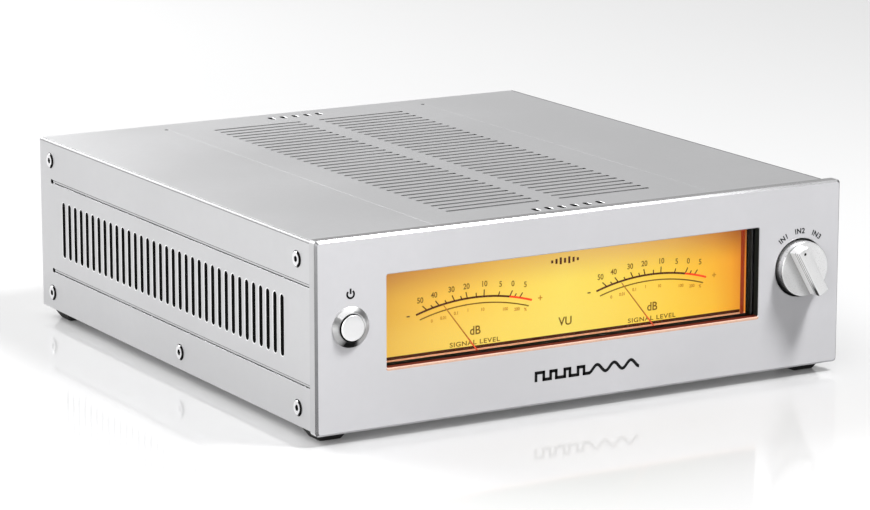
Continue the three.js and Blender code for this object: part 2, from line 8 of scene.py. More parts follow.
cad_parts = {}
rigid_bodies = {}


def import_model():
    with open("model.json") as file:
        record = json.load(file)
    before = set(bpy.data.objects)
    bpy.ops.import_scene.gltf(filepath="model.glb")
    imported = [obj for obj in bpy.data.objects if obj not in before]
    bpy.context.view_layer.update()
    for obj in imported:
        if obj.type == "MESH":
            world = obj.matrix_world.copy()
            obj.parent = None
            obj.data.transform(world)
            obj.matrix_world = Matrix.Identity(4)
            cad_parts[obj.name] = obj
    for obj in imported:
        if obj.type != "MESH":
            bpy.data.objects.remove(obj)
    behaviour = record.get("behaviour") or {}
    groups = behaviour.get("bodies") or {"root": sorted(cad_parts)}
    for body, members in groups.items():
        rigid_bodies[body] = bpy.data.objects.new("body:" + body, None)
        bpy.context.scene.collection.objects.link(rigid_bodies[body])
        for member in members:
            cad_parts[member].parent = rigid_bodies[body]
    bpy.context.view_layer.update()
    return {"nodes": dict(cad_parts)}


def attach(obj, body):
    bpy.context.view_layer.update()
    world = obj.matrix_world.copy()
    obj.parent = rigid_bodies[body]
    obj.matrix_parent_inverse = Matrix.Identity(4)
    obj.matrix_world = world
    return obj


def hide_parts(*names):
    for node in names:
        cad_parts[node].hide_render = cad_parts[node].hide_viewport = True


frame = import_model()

# ------------------------------------------------------------------ dimensions
# Millimetres in the CAD frame; MM turns them into metres.
MM = 0.001
YF, YB, YC = -128.05, 130.05, 1.0
Z0, Z_TOP, Z_BOT = 4.0, 79.66, 4.65
PANEL_W, PANEL_H, PANEL_T, CHAMFER = 245.0, 77.0, 5.3, 0.95
BODY_X, SIDE_T, TOP_T, LIP, GAP = 121.1, 3.0, 2.0, 1.1, 0.3
WX0, WX1, WZ0, WZ1 = -91.5, 82.3, 27.8, 64.9
BTN = (-107.35, 46.05)
KNB = (102.6, 46.2)
KNOB_DEG = -30.0
PIVOTS = {"left": (-42.98, -37.48), "right": (40.18, -38.71)}
NEEDLE_Z = 23.9
SIDE_SCREWS = [(118.5, 71.0), (118.5, 12.0), (-111.3, 71.0), (-111.3, 12.0), (-7.9, 12.0)]
REAR_SCREWS = [(-112.8, 20.0), (-112.8, 62.0), (112.8, 20.0), (112.8, 62.0)]
FOOT_XY = {"front_left": (-111.7, YC - 115.8), "front_right": (111.7, YC - 115.8),
           "rear_left": (-111.7, YC + 115.8), "rear_right": (111.7, YC + 115.8)}
VENT_YS = [YC + 3.4 + (i - 17) * 6.0 for i in range(35)]

scene = bpy.context.scene
coll = scene.collection


# ------------------------------------------------------------- mesh building
def circle(cu, cv, r, n=48, phase=0.5):
    return [(cu + r * math.cos(2 * math.pi * (i + phase) / n), cv + r * math.sin(2 * math.pi * (i + phase) / n)) for i in range(n)]


def rrect(u0, u1, v0, v1, r, n=6):
    pts = []
    for cu, cv, a0 in ((u1 - r, v0 + r, -90), (u1 - r, v1 - r, 0), (u0 + r, v1 - r, 90), (u0 + r, v0 + r, 180)):
        for i in range(n + 1):
            a = math.radians(a0 + 90 * i / n)
            pts.append((cu + r * math.cos(a), cv + r * math.sin(a)))
    return pts


def stadium_v(u, v0, v1, w, n=6):
    r = w / 2
    pts = []
    for i in range(n + 1):
        a = math.radians(-180 + 180 * i / n)
        pts.append((u + r * math.cos(a), v0 + r + r * math.sin(a)))
    for i in range(n + 1):
        a = math.radians(180 * i / n)
        pts.append((u + r * math.cos(a), v1 - r + r * math.sin(a)))
    return pts


def stadium_u(u0, u1, v, w, n=6):
    return [(q, v + (p - v)) for p, q in stadium_v(v, u0, u1, w, n)][::-1]


def keyhole_v(u, v0, v1, w, r, n=14):
    """A groove along v from v0 that ends in a round hole of radius r at v1."""
    h = w / 2
    a0 = math.asin(h / r)
    pts = [(u - h, v0), (u + h, v0)]
    for i in range(n + 1):
        a = -math.pi / 2 + a0 + (2 * math.pi - 2 * a0) * i / n
        pts.append((u + r * math.cos(a), v1 + r * math.sin(a)))
    return pts


def grow(pts, d):
    """Pushes a closed outline outwards (anticlockwise outline) by d."""
    area = sum(pts[i][0] * pts[(i + 1) % len(pts)][1] - pts[(i + 1) % len(pts)][0] * pts[i][1] for i in range(len(pts)))
    s = 1.0 if area > 0 else -1.0
    out = []
    n = len(pts)
    for i in range(n):
        p, c, q = Vector(pts[i - 1]), Vector(pts[i]), Vector(pts[(i + 1) % n])
        e1, e2 = (c - p), (q - c)
        if e1.length < 1e-9:
            e1 = e2
        if e2.length < 1e-9:
            e2 = e1
        n1 = Vector((e1.y, -e1.x)).normalized()
        n2 = Vector((e2.y, -e2.x)).normalized()
        m = n1 + n2
        if m.length < 1e-6:
            m = n1
        m.normalize()
        k = 1.0 / max(0.35, m.dot(n1))
        out.append((c.x + s * d * k * m.x, c.y + s * d * k * m.y))
    return out


def inside(p, poly):
    x, y = p
    hit = False
    j = len(poly) - 1
    for i in range(len(poly)):
        xi, yi = poly[i]
        xj, yj = poly[j]
        if (yi > y) != (yj > y) and x < (xj - xi) * (y - yi) / (yj - yi) + xi:
            hit = not hit
        j = i
    return hit


class Builder:
    """Collects rings of points in (u, v, depth) and turns them into one mesh."""

    def __init__(self, to3):
        self.to3 = to3
        self.verts = []
        self.faces = []
        self.flat = set()

    def ring(self, pts, d):
        start = len(self.verts)
        for u, v in pts:
            self.verts.append(self.to3(u, v, d))
        return {"i": list(range(start, start + len(pts))), "p": list(pts), "d": d}

    def strip(self, a, b):
        n = len(a["i"])
        for k in range(n):
            l = (k + 1) % n
            self.faces.append((a["i"][k], a["i"][l], b["i"][l], b["i"][k]))

    def wall(self, rings):
        made = [self.ring(p, d) for p, d in rings]
        for a, b in zip(made, made[1:]):
            self.strip(a, b)
        return made[0], made[-1]

    def fill(self, outer, holes=()):
        """Flat region between one outer ring and any number of inner rings, at the same depth."""
        loops = [outer] + list(holes)
        co, ids, edges = [], [], []
        for lp in loops:
            s = len(co)
            n = len(lp["i"])
            co.extend(Vector(p) for p in lp["p"])
            ids.extend(lp["i"])
            edges.extend((s + k, s + (k + 1) % n) for k in range(n))
        v2, _e, f2, ov, _oe, _of = delaunay_2d_cdt(co, edges, [], 0, 1e-6, True)
        back = [ids[o[0]] if o else None for o in ov]
        boxes = []
        for lp in holes:
            us = [p[0] for p in lp["p"]]
            vs = [p[1] for p in lp["p"]]
            boxes.append((min(us), max(us), min(vs), max(vs), lp["p"]))
        for f in f2:
            c = ((v2[f[0]].x + v2[f[1]].x + v2[f[2]].x) / 3, (v2[f[0]].y + v2[f[1]].y + v2[f[2]].y) / 3)
            if not inside(c, outer["p"]):
                continue
            if any(b[0] < c[0] < b[1] and b[2] < c[1] < b[3] and inside(c, b[4]) for b in boxes):
                continue
            if None in (back[f[0]], back[f[1]], back[f[2]]):
                continue
            self.flat.add(len(self.faces))
            self.faces.append(tuple(back[k] for k in f))

    def fan(self, ring):
        """Closes a ring with a centre point."""
        cu = sum(p[0] for p in ring["p"]) / len(ring["p"])
        cv = sum(p[1] for p in ring["p"]) / len(ring["p"])
        c = len(self.verts)
        self.verts.append(self.to3(cu, cv, ring["d"]))
        n = len(ring["i"])
        for k in range(n):
            self.faces.append((ring["i"][k], ring["i"][(k + 1) % n], c))

    def merge(self, other):
        s, k = len(self.verts), len(self.faces)
        self.verts.extend(other.verts)
        self.flat.update(k + i for i in other.flat)
        self.faces.extend(tuple(i + s for i in f) for f in other.faces)

    def object(self, name, mat, body, replaces=(), slot=None, angle=32.0, weld=True, place=None):
        me = bpy.data.meshes.new(name)
        me.from_pydata([tuple(c * MM for c in v) for v in self.verts], [], self.faces)
        bm = bmesh.new()
        bm.from_mesh(me)
        layer = bm.faces.layers.int.new("flat")
        bm.faces.ensure_lookup_table()
        for i in self.flat:
            bm.faces[i][layer] = 1
        if weld:
            bmesh.ops.remove_doubles(bm, verts=bm.verts, dist=2e-7)
        bmesh.ops.recalc_face_normals(bm, faces=bm.faces)
        limit = math.radians(angle)
        for e in bm.edges:
            e.smooth = True
            if len(e.link_faces) == 2:
                f, g = e.link_faces
                if f[layer] != g[layer] or e.calc_face_angle(0.0) > limit:
                    e.smooth = False
        for f in bm.faces:
            f.smooth = True
        bm.faces.layers.int.remove(layer)
        bm.to_mesh(me)
        bm.free()
        return register(me, name, mat, body, replaces, slot, place)


def register(me, name, mat, body, replaces=(), slot=None, place=None):
    ob = bpy.data.objects.new(name, me)
    coll.objects.link(ob)
    if place is not None:
        ob.matrix_world = place
    me.materials.clear()
    me.materials.append(mat)
    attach(ob, body)
    if replaces:
        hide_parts(*replaces)
    return ob


def paint(ob, mats, rule):
    """Adds more materials to a piece and gives each face one: rule(centre in mm, normal) is 0 for the first."""
    me = ob.data
    for m in mats:
        me.materials.append(m)
    for p in me.polygons:
        c = p.center * 1000.0
        p.material_index = rule(c, p.normal)
    return ob


def weighted(ob):
    m = ob.modifiers.new("even_normals", "WEIGHTED_NORMAL")
    m.mode = "FACE_AREA"
    m.weight = 90
    m.keep_sharp = True
    return ob


def on_front(u, v, d):
    return (u, YF + d, v)


def on_rear(u, v, d):
    """Depth is measured out of the back, from the covers' back edge."""
    return (u, YB + d, v)


def on_top(u, v, d):
    return (u, v, Z_TOP - d)


def on_side(s):
    return lambda u, v, d: (s * (BODY_X - d), u, v)


def turned(name, profile, centre, mat, body, replaces=(), slot=None, n=96, angle=32.0, base=YF, place=None):
    """A turned piece about a Y axis through centre: profile is [(radius, depth), ...], closed on the axis or on itself."""
    b = Builder(lambda u, v, d: (u, base + d, v))
    rings = []
    closed = abs(profile[0][0] - profile[-1][0]) < 1e-6 and abs(profile[0][1] - profile[-1][1]) < 1e-6 and profile[0][0] > 0
    pts = profile[:-1] if closed else profile
    for r, d in pts:
        if r < 1e-6:
            i = len(b.verts)
            b.verts.append(b.to3(centre[0], centre[1], d))
            rings.append(i)
        else:
            rings.append(b.ring(circle(centre[0], centre[1], r, n), d))
    seq = list(zip(rings, rings[1:])) + ([(rings[-1], rings[0])] if closed else [])
    for p, q in seq:
        if isinstance(p, int) and isinstance(q, int):
            continue
        if isinstance(p, int) or isinstance(q, int):
            c, r = (p, q) if isinstance(p, int) else (q, p)
            m = len(r["i"])
            for k in range(m):
                b.faces.append((r["i"][k], r["i"][(k + 1) % m], c))
        else:
            b.strip(p, q)
    return b.object(name, mat, body, replaces, slot, angle, place=place)


def arc_profile(r0, d0, r1, d1, cx, cy, n=6):
    """Profile points on a circular arc from (r0, d0) to (r1, d1) about (cx, cy)."""
    a0 = math.atan2(d0 - cy, r0 - cx)
    a1 = math.atan2(d1 - cy, r1 - cx)
    while a1 - a0 > math.pi:
        a1 -= 2 * math.pi
    while a1 - a0 < -math.pi:
        a1 += 2 * math.pi
    rr = math.hypot(r0 - cx, d0 - cy)
    return [(cx + rr * math.cos(a0 + (a1 - a0) * i / n), cy + rr * math.sin(a0 + (a1 - a0) * i / n)) for i in range(n + 1)]


def hexring(cu, cv, flat, n=48, turn=0.0):
    """n points on a hexagon whose corners are at radius flat."""
    pts = []
    for i in range(n):
        a = 2 * math.pi * (i + 0.0) / n
        k = ((a - turn + math.pi / 6) % (math.pi / 3)) - math.pi / 6
        r = flat * math.cos(math.pi / 6) / math.cos(k)
        pts.append((cu + r * math.cos(a), cv + r * math.sin(a)))
    return pts


def block(b, u0, u1, v0, v1, d0, d1, r=0.3, e=0.2):
    """A box with rounded corners and broken edges, added to builder b."""
    prof = [(-e, d0), (-e * 0.3, d0 + e * 0.3), (0, d0 + e), (0, d1 - e), (-e * 0.3, d1 - e * 0.3), (-e, d1)]
    rings = []
    for g, d in prof:
        rings.append(b.ring(rrect(u0 - g * 1.0, u1 + g * 1.0, v0 - g * 1.0, v1 + g * 1.0, max(0.05, r + g * 0.6), 3), d))
    for p, q in zip(rings, rings[1:]):
        b.strip(p, q)
    b.fill(rings[0])
    b.fill(rings[-1])


# ------------------------------------------------------------------ materials
def node(nt, kind, x=0, y=0, **props):
    n = nt.nodes.new(kind)
    n.location = (x, y)
    for k, v in props.items():
        setattr(n, k, v)
    return n


def mix_rgb(nt, fac, a, b, x=0, y=0, mode="MIX"):
    m = node(nt, "ShaderNodeMix", x, y, data_type="RGBA", blend_type=mode)
    m.inputs[0].default_value = 1.0
    if fac is not None:
        if isinstance(fac, (int, float)):
            m.inputs[0].default_value = fac
        else:
            nt.links.new(fac, m.inputs[0])
    for sock, val in ((m.inputs[6], a), (m.inputs[7], b)):
        if isinstance(val, (tuple, list)):
            sock.default_value = (*val[:3], 1.0)
        else:
            nt.links.new(val, sock)
    return m.outputs[2]


def math_node(nt, op, a, b=None, c=None, clamp=False, x=0, y=0):
    m = node(nt, "ShaderNodeMath", x, y, operation=op, use_clamp=clamp)
    for i, val in enumerate((a, b, c)):
        if val is None:
            continue
        if isinstance(val, (int, float)):
            m.inputs[i].default_value = val
        else:
            nt.links.new(val, m.inputs[i])
    return m.outputs[0]


def noise(nt, scale, detail=3.0, rough=0.55, dist=0.0, vec=None, x=0, y=0):
    n = node(nt, "ShaderNodeTexNoise", x, y)
    n.inputs["Scale"].default_value = scale
    n.inputs["Detail"].default_value = detail
    n.inputs["Roughness"].default_value = rough
    n.inputs["Distortion"].default_value = dist
    if vec is not None:
        nt.links.new(vec, n.inputs["Vector"])
    return n.outputs["Fac"]


def ramp(nt, fac, stops, x=0, y=0, interp="LINEAR"):
    r = node(nt, "ShaderNodeValToRGB", x, y)
    cr = r.color_ramp
    cr.interpolation = interp
    while len(cr.elements) > 1:
        cr.elements.remove(cr.elements[-1])
    cr.elements[0].position = stops[0][0]
    cr.elements[0].color = (*stops[0][1], 1.0) if len(stops[0][1]) == 3 else stops[0][1]
    for p, c in stops[1:]:
        e = cr.elements.new(p)
        e.color = (*c, 1.0) if len(c) == 3 else c
    nt.links.new(fac, r.inputs["Fac"])
    return r.outputs["Color"]


def remap(nt, val, a0, a1, b0, b1, x=0, y=0):
    m = node(nt, "ShaderNodeMapRange", x, y)
    m.inputs["From Min"].default_value = a0
    m.inputs["From Max"].default_value = a1
    m.inputs["To Min"].default_value = b0
    m.inputs["To Max"].default_value = b1
    nt.links.new(val, m.inputs["Value"])
    return m.outputs["Result"]


def object_vec(nt, scale=(1, 1, 1), rot=(0, 0, 0), x=-1200, y=0):
    tc = node(nt, "ShaderNodeTexCoord", x, y)
    mp = node(nt, "ShaderNodeMapping", x + 180, y)
    mp.inputs["Scale"].default_value = scale
    mp.inputs["Rotation"].default_value = rot
    nt.links.new(tc.outputs["Object"], mp.inputs["Vector"])
    return mp.outputs["Vector"]


def edge_mask(nt, radius, gain=6.0, x=-900, y=-600):
    """1 along sharp outer and inner edges, 0 elsewhere."""
    bev = node(nt, "ShaderNodeBevel", x, y, samples=4)
    bev.inputs["Radius"].default_value = radius
    geo = node(nt, "ShaderNodeNewGeometry", x, y - 150)
    dot = node(nt, "ShaderNodeVectorMath", x + 180, y, operation="DOT_PRODUCT")
    nt.links.new(bev.outputs["Normal"], dot.inputs[0])
    nt.links.new(geo.outputs["Normal"], dot.inputs[1])
    inv = math_node(nt, "SUBTRACT", 1.0, dot.outputs["Value"], x=x + 360, y=y)
    return math_node(nt, "MULTIPLY", inv, gain, clamp=True, x=x + 520, y=y)


def base_material(name):
    m = bpy.data.materials.new(name)
    m.use_nodes = True
    nt = m.node_tree
    nt.nodes.clear()
    out = node(nt, "ShaderNodeOutputMaterial", 400, 0)
    p = node(nt, "ShaderNodeBsdfPrincipled", 100, 0)
    nt.links.new(p.outputs["BSDF"], out.inputs["Surface"])
    return m, nt, p


def bump(nt, p, height, distance, strength=1.0, normal=None, x=-200, y=-400):
    b = node(nt, "ShaderNodeBump", x, y)
    b.inputs["Distance"].default_value = distance
    b.inputs["Strength"].default_value = strength
    nt.links.new(height, b.inputs["Height"])
    if normal is not None:
        nt.links.new(normal, b.inputs["Normal"])
    nt.links.new(b.outputs["Normal"], p.inputs["Normal"])
    return b.outputs["Normal"]


def aluminium(name, colour, rough, metallic=0.5, grain=2600.0, grain_depth=6e-6, streak=None, edge=True, edge_colour=(0.93, 0.93, 0.94), edge_rough=0.22, edge_radius=0.0003):
    """Bead-blasted and anodised sheet or plate, or satin turned metal when streak gives the scratch direction."""
    m, nt, p = base_material(name)
    p.inputs["Metallic"].default_value = metallic
    v = object_vec(nt)
    cloud = noise(nt, 14.0, 3.0, 0.5, vec=v, x=-900, y=300)
    mottle = noise(nt, 260.0, 4.0, 0.6, vec=v, x=-900, y=120)
    fine = noise(nt, grain, 2.0, 0.6, vec=v, x=-900, y=-60)
    dark = tuple(c * 0.965 for c in colour)
    light = tuple(min(1.0, c * 1.02) for c in colour)
    col = mix_rgb(nt, remap(nt, cloud, 0.35, 0.65, 0.0, 1.0, x=-700, y=300), dark, light, x=-500, y=300)
    col = mix_rgb(nt, remap(nt, mottle, 0.3, 0.7, 0.0, 0.35, x=-700, y=120), col, tuple(c * 0.985 for c in dark), x=-320, y=250)
    r = remap(nt, cloud, 0.3, 0.7, rough - 0.03, rough + 0.03, x=-700, y=-20)
    grainy = remap(nt, fine, 0.3, 0.7, -0.035, 0.035, x=-700, y=-160)
    r = math_node(nt, "ADD", r, grainy, x=-500, y=-60)
    height = fine
    if streak:
        sv = object_vec(nt, scale=streak, y=-900)
        lines = noise(nt, 1.0, 3.0, 0.55, vec=sv, x=-900, y=-900)
        col = mix_rgb(nt, remap(nt, lines, 0.35, 0.65, 0.0, 0.5, x=-700, y=-900), col, tuple(c * 0.95 for c in dark), x=-200, y=200)
        r = math_node(nt, "ADD", r, remap(nt, lines, 0.3, 0.7, -0.05, 0.05, x=-700, y=-1050), x=-330, y=-60)
        height = lines
    # edges come out lighter and smoother, in noisy patches
    if edge:
        mask = edge_mask(nt, edge_radius)
        edge_patches = noise(nt, 900.0, 2.0, 0.6, vec=v, x=-900, y=-400)
        mask = math_node(nt, "MULTIPLY", mask, remap(nt, edge_patches, 0.3, 0.6, 0.35, 1.0, x=-700, y=-400), clamp=True, x=-250, y=-560)
        col = mix_rgb(nt, mask, col, edge_colour, x=-100, y=200)
        rm = node(nt, "ShaderNodeMix", -100, -60, data_type="FLOAT")
        nt.links.new(mask, rm.inputs[0])
        nt.links.new(r, rm.inputs[2])
        rm.inputs[3].default_value = edge_rough
        r = rm.outputs[0]
    nt.links.new(col, p.inputs["Base Color"])
    nt.links.new(r, p.inputs["Roughness"])
    bump(nt, p, height, grain_depth)
    return m


def plastic(name, colour, rough, grain=1800.0, depth=8e-6, spec=0.5, edge=True, tint=1.6):
    m, nt, p = base_material(name)
    p.inputs["Specular IOR Level"].default_value = spec
    v = object_vec(nt)
    cloud = noise(nt, 40.0, 3.0, 0.5, vec=v, x=-900, y=300)
    fine = noise(nt, grain, 3.0, 0.6, vec=v, x=-900, y=0)
    a = tuple(c * 0.85 for c in colour)
    b = tuple(min(1.0, c * 1.15) for c in colour)
    col = mix_rgb(nt, cloud, a, b, x=-400, y=250)
    r = math_node(nt, "ADD", remap(nt, cloud, 0.3, 0.7, rough - 0.05, rough + 0.05, x=-700, y=120), remap(nt, fine, 0.3, 0.7, -0.05, 0.05, x=-700, y=0), x=-400, y=50)
    if edge:
        mask = edge_mask(nt, 0.0004, 5.0)
        col = mix_rgb(nt, math_node(nt, "MULTIPLY", mask, 0.6, x=-300, y=-560), col, tuple(min(1.0, c * tint + 0.02) for c in colour), x=-200, y=250)
    nt.links.new(col, p.inputs["Base Color"])
    nt.links.new(r, p.inputs["Roughness"])
    bump(nt, p, fine, depth)
    return m


def metal(name, colour, rough, scratch=(900, 60, 900), depth=1.5e-6, spots=0.03):
    m, nt, p = base_material(name)
    p.inputs["Metallic"].default_value = 1.0
    v = object_vec(nt)
    sv = object_vec(nt, scale=scratch, y=-500)
    lines = noise(nt, 2.0, 3.0, 0.6, vec=sv, x=-900, y=-500)
    cloud = noise(nt, 120.0, 4.0, 0.6, vec=v, x=-900, y=200)
    col = mix_rgb(nt, remap(nt, cloud, 0.35, 0.7, 0.0, 1.0, x=-700, y=200), tuple(c * (1 - spots) for c in colour), colour, x=-300, y=200)
    r = math_node(nt, "ADD", remap(nt, cloud, 0.3, 0.7, max(0.02, rough - 0.04), rough + 0.05, x=-700, y=0), remap(nt, lines, 0.3, 0.7, -0.03, 0.03, x=-700, y=-300), clamp=True, x=-300, y=0)
    nt.links.new(col, p.inputs["Base Color"])
    nt.links.new(r, p.inputs["Roughness"])
    bump(nt, p, lines, depth)
    return m


def ink(name, colour, rough=0.5, emission=0.0):
    m, nt, p = base_material(name)
    p.inputs["Specular IOR Level"].default_value = 0.12
    v = object_vec(nt)
    speck = noise(nt, 2200.0, 3.0, 0.65, vec=v, x=-700, y=100)
    col = mix_rgb(nt, remap(nt, speck, 0.3, 0.7, 0.0, 1.0, x=-500, y=100), tuple(c * 0.8 for c in colour), tuple(min(1, c * 1.2 + 0.002) for c in colour), x=-250, y=100)
    nt.links.new(col, p.inputs["Base Color"])
    nt.links.new(remap(nt, speck, 0.3, 0.7, rough - 0.08, rough + 0.08, x=-500, y=-100), p.inputs["Roughness"])
    if emission:
        nt.links.new(col, p.inputs["Emission Color"])
        p.inputs["Emission Strength"].default_value = emission
    bump(nt, p, speck, 3e-6)
    return m


MAT = {}
MAT["front"] = aluminium("front_aluminium_mat", (0.436, 0.434, 0.448), 0.42, edge=False)
# painted light and shade on the front panel's edges: a painted lighter copy for the edge faces, a painted highlight
# copy for the top chamfer and the front of the top face, painted shade copies for the rear of the top face and the
# upright chamfers
MAT["front_side"] = aluminium("front_side_aluminium_mat", (0.52, 0.52, 0.528), 0.42, metallic=0.85, edge=False)
MAT["bright_cut"] = aluminium("bright_cut_edge_mat", (0.118, 0.118, 0.120), 0.30, metallic=0.6, edge=False)
MAT["top_shade"] = aluminium("panel_top_shade_mat", (0.098, 0.098, 0.100), 0.30, metallic=0.6, edge=False)
MAT["shaded_cut"] = aluminium("shaded_cut_edge_mat", (0.12, 0.12, 0.123), 0.30, metallic=0.9, edge=False)
# dark copy for painted shade in seams; no rule gives it to a face
MAT["seam"] = aluminium("seam_edge_mat", (0.045, 0.045, 0.046), 0.45, metallic=0.8, edge=False)
MAT["groove"] = plastic("groove_shadow_mat", (0.035, 0.035, 0.036), 0.7, spec=0.15, edge=False)
MAT["cover"] = aluminium("cover_aluminium_mat", (0.587, 0.587, 0.596), 0.42, metallic=0.85, edge=False)
MAT["side"] = aluminium("side_aluminium_mat", (0.572, 0.572, 0.58), 0.42, metallic=0.85, edge=False)
# painted light and shade on the side panels: darker copies on the top rounding and on the lip, a bright copy as a
# painted highlight round the slots
MAT["edge_round"] = aluminium("side_edge_painted_shade_mat", (0.25, 0.25, 0.253), 0.5, metallic=0.8, edge=False)
MAT["lip"] = aluminium("side_lip_painted_shade_mat", (0.33, 0.33, 0.335), 0.42, metallic=0.85, edge=False)
MAT["slot_rim"] = aluminium("slot_rim_aluminium_mat", (0.86, 0.86, 0.865), 0.36, metallic=0.6, edge=False)
# darker copy for the top keyhole grooves' rims: painted shade that keeps them faint
MAT["faint"] = aluminium("faint_groove_mat", (0.36, 0.36, 0.366), 0.45, metallic=0.85, edge=False)
MAT["inner"] = aluminium("inner_aluminium_mat", (0.60, 0.60, 0.61), 0.45, streak=(30, 1400, 1400), grain_depth=3e-6)
MAT["button"] = aluminium("button_aluminium_mat", (0.76, 0.76, 0.765), 0.30, metallic=0.5, grain=3600, grain_depth=1.5e-6, edge=False)
# white copy for the painted highlight on the button's ring
MAT["bezel_white"] = aluminium("bezel_painted_highlight_mat", (0.97, 0.97, 0.975), 0.3, metallic=0.1, edge=False)
MAT["screw"] = metal("screw_steel_mat", (0.60, 0.60, 0.61), 0.28)
# bright copy of the screw steel: painted highlight on the raised heads
MAT["screw_bright"] = metal("screw_bright_steel_mat", (0.82, 0.82, 0.83), 0.36)
MAT["shaft"] = metal("shaft_steel_mat", (0.62, 0.62, 0.64), 0.3)


def make_bezel():
    """Polished ring: a mirror finish whose base colour carries a painted reflection running round the ring, dark at the
    foot and bright at the top, as turned chrome shows it.
    """
    m, nt, p = base_material("bezel_chrome_painted_reflection_mat")
    p.inputs["Metallic"].default_value = 1.0
    tc = node(nt, "ShaderNodeTexCoord", -1800, 0)
    sep = node(nt, "ShaderNodeSeparateXYZ", -1600, 0)
    nt.links.new(tc.outputs["Object"], sep.inputs[0])
    dx = math_node(nt, "SUBTRACT", sep.outputs["X"], BTN[0] * MM)
    dz = math_node(nt, "SUBTRACT", sep.outputs["Z"], BTN[1] * MM)
    ang = math_node(nt, "ARCTAN2", dx, dz)
    f = math_node(nt, "ADD", math_node(nt, "DIVIDE", ang, 2 * math.pi), 0.5)
    painted_light_ramp = ramp(nt, f, [(0.0, (0.012,) * 3), (0.070, (0.012,) * 3), (0.10, (0.20,) * 3), (0.14, (0.36,) * 3), (0.22, (0.37,) * 3), (0.32, (0.56,) * 3), (0.365, (1.0,) * 3), (0.53, (1.0,) * 3), (0.56, (0.85,) * 3),
                        (0.60, (0.62,) * 3), (0.63, (0.70,) * 3), (0.67, (0.95,) * 3), (0.73, (0.90,) * 3), (0.78, (0.50,) * 3), (0.86, (0.44,) * 3), (0.92, (0.40,) * 3), (0.955, (0.02,) * 3), (1.0, (0.012,) * 3)])
    v = object_vec(nt, y=-500)
    cloud = noise(nt, 400.0, 3.0, 0.6, vec=v, x=-900, y=-500)
    col = mix_rgb(nt, remap(nt, cloud, 0.35, 0.7, 0.0, 0.06), painted_light_ramp, (0.5, 0.5, 0.5))
    nt.links.new(col, p.inputs["Base Color"])
    nt.links.new(remap(nt, cloud, 0.3, 0.7, 0.36, 0.40), p.inputs["Roughness"])
    bump(nt, p, cloud, 4e-7)
    return m


MAT["chrome"] = make_bezel()


def make_knob():
    """Turned and milled knob, satin, with painted light and shade that follow its own shape: painted shade on the disc
    beside the grip bar, a painted highlight on the bar's flank.
    """
    m, nt, p = base_material("knob_painted_light_mat")
    p.inputs["Metallic"].default_value = 0.65
    tc = node(nt, "ShaderNodeTexCoord", -2200, 0)
    sep = node(nt, "ShaderNodeSeparateXYZ", -2000, 0)
    nt.links.new(tc.outputs["Object"], sep.inputs[0])
    U, V = sep.outputs["X"], sep.outputs["Z"]
    D = math_node(nt, "SUBTRACT", sep.outputs["Y"], YF * MM)

    def smooth(val, a0, a1, b0, b1):
        f = node(nt, "ShaderNodeMapRange", -1400, 0, interpolation_type="SMOOTHSTEP")
        f.inputs["From Min"].default_value = a0 * MM
        f.inputs["From Max"].default_value = a1 * MM
        f.inputs["To Min"].default_value = b0
        f.inputs["To Max"].default_value = b1
        nt.links.new(val, f.inputs["Value"])
        return f.outputs["Result"]
    # disc face: soft painted shade that deepens towards the bar's left foot, lighter on the right
    disc = smooth(D, -4.1, -3.72, 0.0, 1.0)
    shade = math_node(nt, "MULTIPLY", smooth(U, -7.6, -3.1, 1.0, 0.50), smooth(U, 2.9, 3.2, 1.0, 2.6))
    shade = math_node(nt, "MINIMUM", shade, 1.24)
    disc_painted_shade = math_node(nt, "MULTIPLY", shade, 0.69)
    # flank of the bar, on the left: a painted highlight, with two fine lines and a dark wedge low down by the face as
    # painted reflections, and a darker band along the face's edge
    left = math_node(nt, "MULTIPLY", smooth(U, -2.40, -2.44, 0.0, 1.0), smooth(D, -3.9, -4.2, 0.0, 1.0))

    def band(val, c, h):
        return math_node(nt, "MULTIPLY", smooth(val, c - h - 0.12, c - h, 0.0, 1.0), smooth(val, c + h, c + h + 0.12, 1.0, 0.0))
    lines = math_node(nt, "MAXIMUM", math_node(nt, "MULTIPLY", band(D, -7.3, 0.16), 0.62), math_node(nt, "MULTIPLY", band(D, -8.4, 0.16), 0.66))
    low = smooth(V, -2.5, -8.5, 0.0, 1.0)
    painted_dark_wedge = math_node(nt, "MULTIPLY", low, smooth(D, -7.4, -8.3, 0.0, 0.97))
    rim = smooth(D, -9.35, -9.6, 0.0, 0.62)
    dark = math_node(nt, "MAXIMUM", math_node(nt, "MAXIMUM", lines, painted_dark_wedge), rim)
    flank_painted_light = math_node(nt, "MULTIPLY", math_node(nt, "SUBTRACT", 1.0, dark), 0.97)
    face_tone = smooth(D, -9.93, -9.8, 0.79, 0.90)
    mixf = node(nt, "ShaderNodeMix", -500, 0, data_type="FLOAT")
    nt.links.new(left, mixf.inputs[0])
    nt.links.new(face_tone, mixf.inputs[2])
    nt.links.new(flank_painted_light, mixf.inputs[3])
    mixd = node(nt, "ShaderNodeMix", -300, 0, data_type="FLOAT")
    nt.links.new(disc, mixd.inputs[0])
    nt.links.new(mixf.outputs[0], mixd.inputs[2])
    nt.links.new(disc_painted_shade, mixd.inputs[3])
    grain = noise(nt, 3600.0, 2.0, 0.6, vec=tc.outputs["Object"], x=-900, y=-500)
    val = math_node(nt, "MULTIPLY", mixd.outputs[0], remap(nt, grain, 0.3, 0.7, 0.985, 1.01))
    comb = node(nt, "ShaderNodeCombineColor", -100, 200)
    for k in range(3):
        nt.links.new(val, comb.inputs[k])
    nt.links.new(comb.outputs[0], p.inputs["Base Color"])
    nt.links.new(remap(nt, grain, 0.3, 0.7, 0.27, 0.33), p.inputs["Roughness"])
    bump(nt, p, grain, 1.0e-6)
    return m


MAT["knob"] = make_knob()


